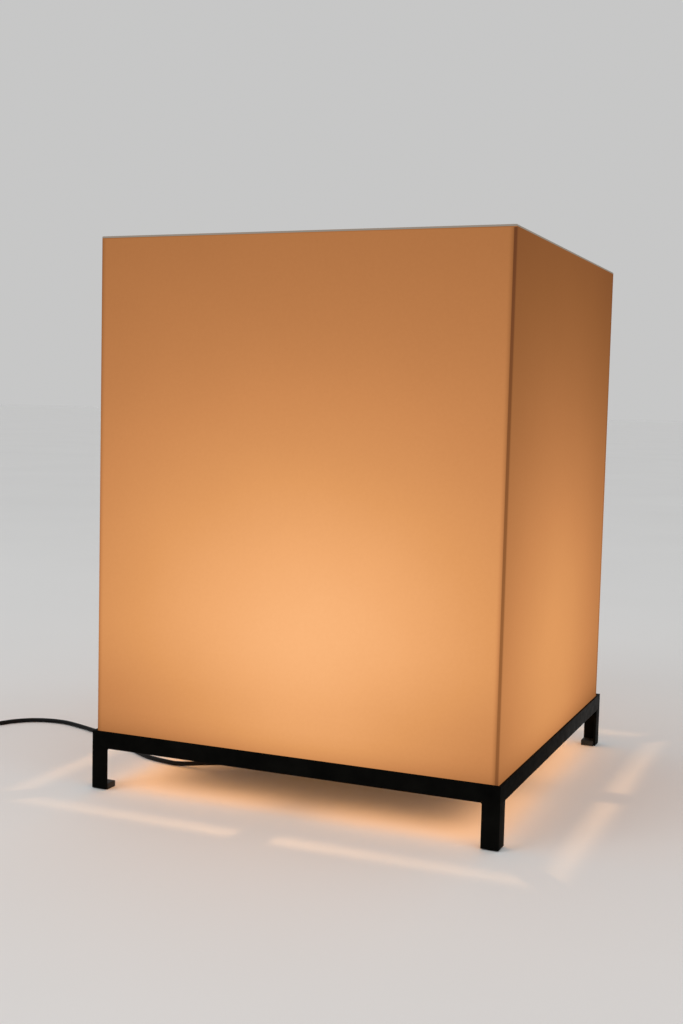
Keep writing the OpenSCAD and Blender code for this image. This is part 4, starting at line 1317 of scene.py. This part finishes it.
class LAMP_OT_foot_switch(PieceOperator, bpy.types.Operator):
    """Builds the foot switch: base with two spouts, cover, button, spring, screws and contacts"""

    bl_idname = "column_lamp.foot_switch"
    bl_label = "Foot switch"

    def execute(self, context):
        bore = context.scene.lamp_cord.diameter / 2
        r = upper("switch_cover", X) - SWITCH.x
        split_z, top = both("switch_cover")
        wall, floor = 0.002, 0.002
        inner, under, screw_place = r - wall, floor - 0.0001, 0.020
        reach, post_top = upper("switch_base", Y) - SWITCH.y, upper("switch_button") - 0.0057
        parts = [turned(
            [(0, 0), (r, 0, 0.0022), (r, split_z, 0.0004), (inner, split_z, 0.0004),
             (inner, floor, 0.0008), (0, floor)], 128, 4, SWITCH,
        )]
        spout = [
            (bore, inner), (0.0048, inner),
            *ribs(4, (r, reach), (0.0048, 0.0038), 0.0007, 0.0006, 0.0002),
            (0.0038, reach, 0.0006), (bore, reach, 0.0003),
        ]
        parts += [turned(spout, 48, 3, SPOUT, (0, side, 0)) for side in SIDES]
        parts.append(turned(
            [(0, under), (0.003, under), (0.003, post_top, 0.0006), (0, post_top)], 40, at=SWITCH
        ))
        post = [(0.0014, under), (0.003, under), (0.003, split_z), (0.0014, split_z)]
        spots = [SWITCH + Vector((side * screw_place, 0, 0)) for side in SIDES]
        parts += [turned(post, 32, at=at) for at in spots]
        base = keep("foot_switch_base", joined(parts), black_moulding())
        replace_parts(base, "switch_base")

        mouth = upper("switch_button", X) - SWITCH.x - 0.0017
        curl, low = mouth + 0.003, split_z + 0.001
        arc = [radians(a) for a in range(0, 91, 6)]

        def skin(radius, height, angles):
            wide, tall = radius - curl, height - low
            return [(curl + wide * cos(a), low + tall * sin(a)) for a in angles]

        ridges, ridge_depth = 36, 0.0003

        def tread(angle, radius, z):
            near = between(radius, curl + 0.001, r - 0.002, 0.003)
            if z < low + (top - wall - low) * 0.9 and radius < inner:
                near = 0
            return radius - ridge_depth * near * wave(ridges * angle / tau + 0.5) ** 3

        cover = keep("foot_switch_cover", turned(
            [(inner, split_z, 0.0003), (r, split_z, 0.0004), *skin(r, top, arc), (mouth, top, 0.0006),
             (mouth, top - wall, 0.0003), *skin(inner, top - wall, arc[::-1])],
            216, 3, SWITCH, shape=tread,
        ), black_moulding(), 40)
        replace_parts(cover, "switch_cover")

        edge = mouth - 0.0003
        flange, high = both("switch_button")
        ceiling = high - 0.0024
        rings = []
        for ring in (edge * part for part in (0.74, 0.61, 0.48, 0.35, 0.22)):
            rings += [(ring + 0.0005, high - 0.0004, 0.0002), (ring + 0.0003, high - 0.0001, 0.0002),
                      (ring, high - 0.0001, 0.0002), (ring - 0.0002, high - 0.0004, 0.0002)]
        button = keep("foot_switch_button", turned(
            [(edge - 0.0016, flange, 0.0003), (edge + 0.002, flange, 0.0004),
             (edge + 0.002, flange + 0.0015, 0.0004), (edge, flange + 0.0015, 0.0002),
             (edge, high, 0.0016), (edge - 0.002, high, 0.0004), *rings, (0.001, high - 0.0005),
             (0, high - 0.0005), (0, ceiling), (edge - 0.0016, ceiling, 0.0003)], 96, 3, SWITCH,
        ), grey_button(), 40)
        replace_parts(button, "switch_button")
        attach(button, "button")

        wire, spring_high = 0.0007, ceiling - 0.0003
        spring = grown(
            "button_spring", seed([SWITCH + Vector((0, 0, floor + wire))]), return_spring(),
            metal("spring_steel"), 80, Radius=0.0046, Wire=wire, Turns=5.0,
            Height=spring_high - floor - 2 * wire,
        )
        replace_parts(spring, "switch_spring")
        screws = grown(
            "foot_switch_screws", seed(*([at + Vector((0, 0, 0.0016))] for at in spots)), pan_screws(),
            metal("zinc_plate"), Head_Radius=0.0024, Head_Height=0.0013, Shank_Radius=0.0014,
            Shank_Length=0.015, Slot=0.0005, Up=-1.0,
        )
        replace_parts(screws, "switch_screws")
        for piece in (base, cover, spring, screws):
            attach(piece, "base")
        travel = 0.003
        1 - travel / (spring_high - floor)
        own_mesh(spring)
        finish_node("switch_contacts", metal("brass_sheet"))
        return {"FINISHED"}


class LAMP_OT_plug(PieceOperator, bpy.types.Operator):
    """Builds the flat plug: moulded body with its strain relief, pins and pin sleeves"""

    bl_idname = "column_lamp.plug"
    bl_label = "Plug"

    def execute(self, context):
        half, face = upper("plug_body", X) - PLUG.x, upper("plug_body", Y) - PLUG.y
        thick, relief = upper("plug_body") - PLUG.z, 0.024
        grip, grip_end, grip_step, grip_depth = 0.033, 0.045, 0.003, 0.0005
        # (distance from the cord's entry, half width, half thickness, squareness)
        stations = (
            (relief - 0.0012, 0.0046, 0.0042, 2.0), (relief, 0.0056, 0.0050, 2.2),
            (relief + 0.004, 0.0090, 0.0060, 2.5), (relief + 0.008, 0.0113, thick, 2.8),
            (relief + 0.012, 0.0130, thick, 3.2), (relief + 0.016, 0.0132, thick, 3.6),
            (relief + 0.020, 0.0136, thick, 4.0), (relief + 0.023, 0.0155, thick, 4.5),
            (relief + 0.026, half, thick, 5.0), (face - 0.003, half, thick, 5.5),
            (face - 0.0008, half, thick, 5.5), (face, half - 0.0008, thick - 0.0008, 5.5),
        )
        rings = []
        for i, (one, two) in enumerate(zip(stations, stations[1:])):
            for t in (0, 0.25, 0.5, 0.75):
                ease = t * t * (3 - 2 * t) if i < len(stations) - 3 else t
                rings.append([a + (b - a) * ease for a, b in zip(one, two, strict=True)])
        sections = []
        for run, wide, tall, power in (*rings, stations[-1]):
            if grip < run < grip_end:
                wide -= grip_depth * wave((run - grip) / grip_step)
            section = []
            for a in (tau * k / 64 for k in range(64)):
                c, s = cos(a), sin(a)
                x = copysign(abs(c) ** (2 / power), c) * wide
                z = copysign(abs(s) ** (2 / power), s) * tall
                section.append(PLUG + Vector((x, run, z)))
            sections.append(section)
        thin = context.scene.lamp_cord.diameter / 2 + 0.0009
        tail = turned(
            [(0, 0), (thin, 0, 0.0005),
             *ribs(6, (0, relief), (thin, thin + 0.0014), 0.0014, 0.0007),
             (thin + 0.0014, relief), (0, relief)], 48, 3, PLUG, (0, 1, 0),
        )
        body = keep("plug_moulding", joined([loft(sections), tail]), black_moulding(), 35)
        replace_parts(body, "plug_body")
        pin, core = 0.002, 0.0014
        centre, tip = upper("plug_pins", X) - pin - PLUG.x, upper("plug_pins", Y) - PLUG.y
        end = upper("plug_sleeves", Y) - PLUG.y
        spots = [PLUG + Vector((side * centre, 0, 0)) for side in SIDES]
        pin_line = [
            (0, face - 0.001), (core, face - 0.001), (core, end, 0.0001), (pin, end, 0.0002),
            (pin, tip, 0.0015), (0, tip),
        ]
        sleeve_line = [(core, face), (0.0019, face, 0.0001), (0.0019, end, 0.0002), (core, end)]
        pins = joined(turned(pin_line, 40, 5, at, (0, 1, 0)) for at in spots)
        sleeves = joined(turned(sleeve_line, 40, 3, at, (0, 1, 0)) for at in spots)
        pin_pair = keep("plug_pin_pair", pins, metal("nickel_shell"), 40)
        sleeve_pair = keep("plug_sleeve_pair", sleeves, black_moulding(), 40)
        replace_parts(pin_pair, "plug_pins")
        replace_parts(sleeve_pair, "plug_sleeves")
        for piece in (body, pin_pair, sleeve_pair):
            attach(piece, "base")
        return {"FINISHED"}


class LAMP_OT_cords(PieceOperator, bpy.types.Operator):
    """Lays the cord from the strain relief to the foot switch, and on through its coil to the plug"""

    bl_idname = "column_lamp.cords"
    bl_label = "Cords"

    def execute(self, context):
        cord = context.scene.lamp_cord
        near = smooth_route(ROUTE_TO_SWITCH)
        near.append(near[-1] + INTO_SWITCH)
        far = smooth_route(ROUTE_TO_COIL)
        far = [far[0] - INTO_SWITCH, *far, *coil_route(cord)[1:-1], *smooth_route(ROUTE_TO_PLUG)]
        for name, path, nodes, end, lay, pieces in (
            ("cord_from_lamp", near, ("cord_to_switch", "switch_cord_ends"), "fitting", "loose",
             ("foot_switch_base", "foot_switch_cover", "foot_switch_button")),
            ("cord_to_wall_plug", far, ("cord_to_coil", "cord_coil", "cord_to_plug"), "plug", "coiled",
             ("plug_moulding", "plug_pin_pair", "plug_sleeve_pair")),
        ):
            piece = grown(
                name, seed(path), round_line(), cord_jacket(), 60, Diameter=cord.diameter, Sides=20
            )
            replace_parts(piece, *nodes)
            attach(piece, "base")
            round(route_length(path), 3)
        return {"FINISHED"}


CAMERA_PLACE = Vector((0.6081, -1.5559, 0.4637))
CAMERA_YAW, CAMERA_PITCH, CAMERA_ROLL = (radians(a) for a in (22.656, 4.729, 1.404))
FLOOR_RADIUS = 60
AIM = Vector((0, 0, 0.3))


def camera_matrix():
    """Right, up and back directions from yaw (to the left), pitch (down) and roll."""
    cy, sy = cos(CAMERA_YAW), sin(CAMERA_YAW)
    cp, sp = cos(CAMERA_PITCH), sin(CAMERA_PITCH)
    ahead, right = Vector((-sy * cp, cy * cp, -sp)), Vector((cy, sy, 0))
    up = right.cross(ahead)
    c, s = cos(CAMERA_ROLL), sin(CAMERA_ROLL)
    right, up = c * right + s * up, c * up - s * right
    turn = Matrix((right, up, -ahead)).transposed().to_4x4()
    return Matrix.Translation(CAMERA_PLACE) @ turn


def light(name, kind, energy, place, **settings):
    data = bpy.data.lights.new(name, kind)
    data.energy = energy
    for key, value in settings.items():
        setattr(data, key, value)
    made = linked(name, data)
    made.location = place
    return made


class LAMP_OT_stage(PieceOperator, bpy.types.Operator):
    """Sets the pale floor, the soft light and the camera"""

    bl_idname = "column_lamp.stage"
    bl_label = "Floor, light and camera"

    def execute(self, context):
        scene, stage = context.scene, context.scene.lamp_stage
        scene.view_settings.view_transform = "Standard"
        camera = bpy.data.cameras.new("camera")
        camera.lens, camera.sensor_width, camera.sensor_fit = stage.lens, 36, "AUTO"
        camera.clip_end = 200
        scene.camera = linked("camera", camera)
        scene.camera.matrix_world = camera_matrix()

        made, shader, place = new_material("pale_floor", Roughness=0.7, Specular_IOR_Level=0.15)
        patch = spread(noise(place, 1.3, 3, 0.5), 0, 1)
        mixed(patch, *shades(stage.floor, *CLOUDS)).into(shader, "Base Color")
        ring = [(FLOOR_RADIUS * cos(a), FLOOR_RADIUS * sin(a), 0)
                for a in (tau * i / 96 for i in range(96))]
        floor = keep("floor", (ring, [list(range(96))]), made)
        if floor.data.polygons[0].normal.z < 0:
            floor.data.flip_normals()

        scene.world = bpy.data.worlds.new("room")
        scene.world.use_nodes = True
        tree = scene.world.node_tree
        tree.nodes.clear()
        camera_ray, glossy, clear = (
            add(tree, "ShaderNodeLightPath", output=f"Is {kind} Ray")
            for kind in ("Camera", "Glossy", "Transmission")
        )
        seen = calc("MAXIMUM", calc("MAXIMUM", camera_ray, glossy), clear)
        even, wall = (
            add(tree, "ShaderNodeBackground", {"Color": (*shade, 1), "Strength": strength})
            for shade, strength in (((1, 1, 1), stage.room_light), (stage.backdrop, 1.0))
        )
        both_ways = add(tree, "ShaderNodeMixShader", {0: seen, 1: even, 2: wall})
        add(tree, "ShaderNodeOutputWorld", {0: both_ways})

        for name, place, size, energy in (
            ("key_light", Vector((-1.6, -2.4, 2.6)), 2.2, stage.key_light),
            ("fill_light", Vector((2.6, -1.4, 1.7)), 2.4, stage.key_light * 0.35),
        ):
            panel = light(name, "AREA", energy, place, shape="DISK", size=size)
            aim = (place - AIM).to_track_quat("Z", "Y").to_matrix().to_4x4()
            panel.matrix_world = Matrix.Translation(place) @ aim
        warm, wide = (1.0, 0.46, 0.15), 1.9 * HALF_SHADE
        for lamp in (
            light("bulb_light", "POINT", stage.bulb_light, (0, 0, LIGHT_HEIGHT),
                  color=(1.0, 0.56, 0.25), shadow_soft_size=0.012),
            light("box_light", "AREA", stage.box_light, (0, 0, PLATE_TOP + 0.02), color=warm, size=wide),
            light("spill_light", "AREA", stage.spill_light, (0, 0, RAIL_LOW - 0.004), color=warm,
                  size=wide),
        ):
            lamp.visible_camera = lamp.visible_glossy = lamp.visible_transmission = False
        return {"FINISHED"}


PIECES = (
    LAMP_OT_steel_frame, LAMP_OT_glides, LAMP_OT_plate, LAMP_OT_shade, LAMP_OT_holder,
    LAMP_OT_bulb, LAMP_OT_strain_relief, LAMP_OT_foot_switch, LAMP_OT_plug, LAMP_OT_cords,
    LAMP_OT_stage,
)


class LAMP_PT_panel(bpy.types.Panel):
    """Lists the lamp's sizes, colours and pieces"""

    bl_label = "Column floor lamp"
    bl_idname = "LAMP_PT_panel"
    bl_space_type = "VIEW_3D"
    bl_region_type = "UI"
    bl_category = "Lamp"

    def draw(self, context):
        for name, kind in SETTINGS.items():
            box = self.layout.box()
            box.label(text=kind.__doc__)
            for key in kind.__annotations__:
                box.prop(getattr(context.scene, name), key)
        for piece in PIECES:
            self.layout.operator(piece.bl_idname)


CLASSES = (*SETTINGS.values(), *PIECES, LAMP_PT_panel)


def register():
    for each in CLASSES:
        bpy.utils.register_class(each)
    for name, kind in SETTINGS.items():
        setattr(bpy.types.Scene, name, PointerProperty(type=kind))


def unregister():
    for name in SETTINGS:
        delattr(bpy.types.Scene, name)
    for each in reversed(CLASSES):
        bpy.utils.unregister_class(each)


def main():
    register()
    for piece in PIECES:
        group, name = piece.bl_idname.split(".")
        getattr(getattr(bpy.ops, group), name)()


if __name__ == "__main__":
    main()
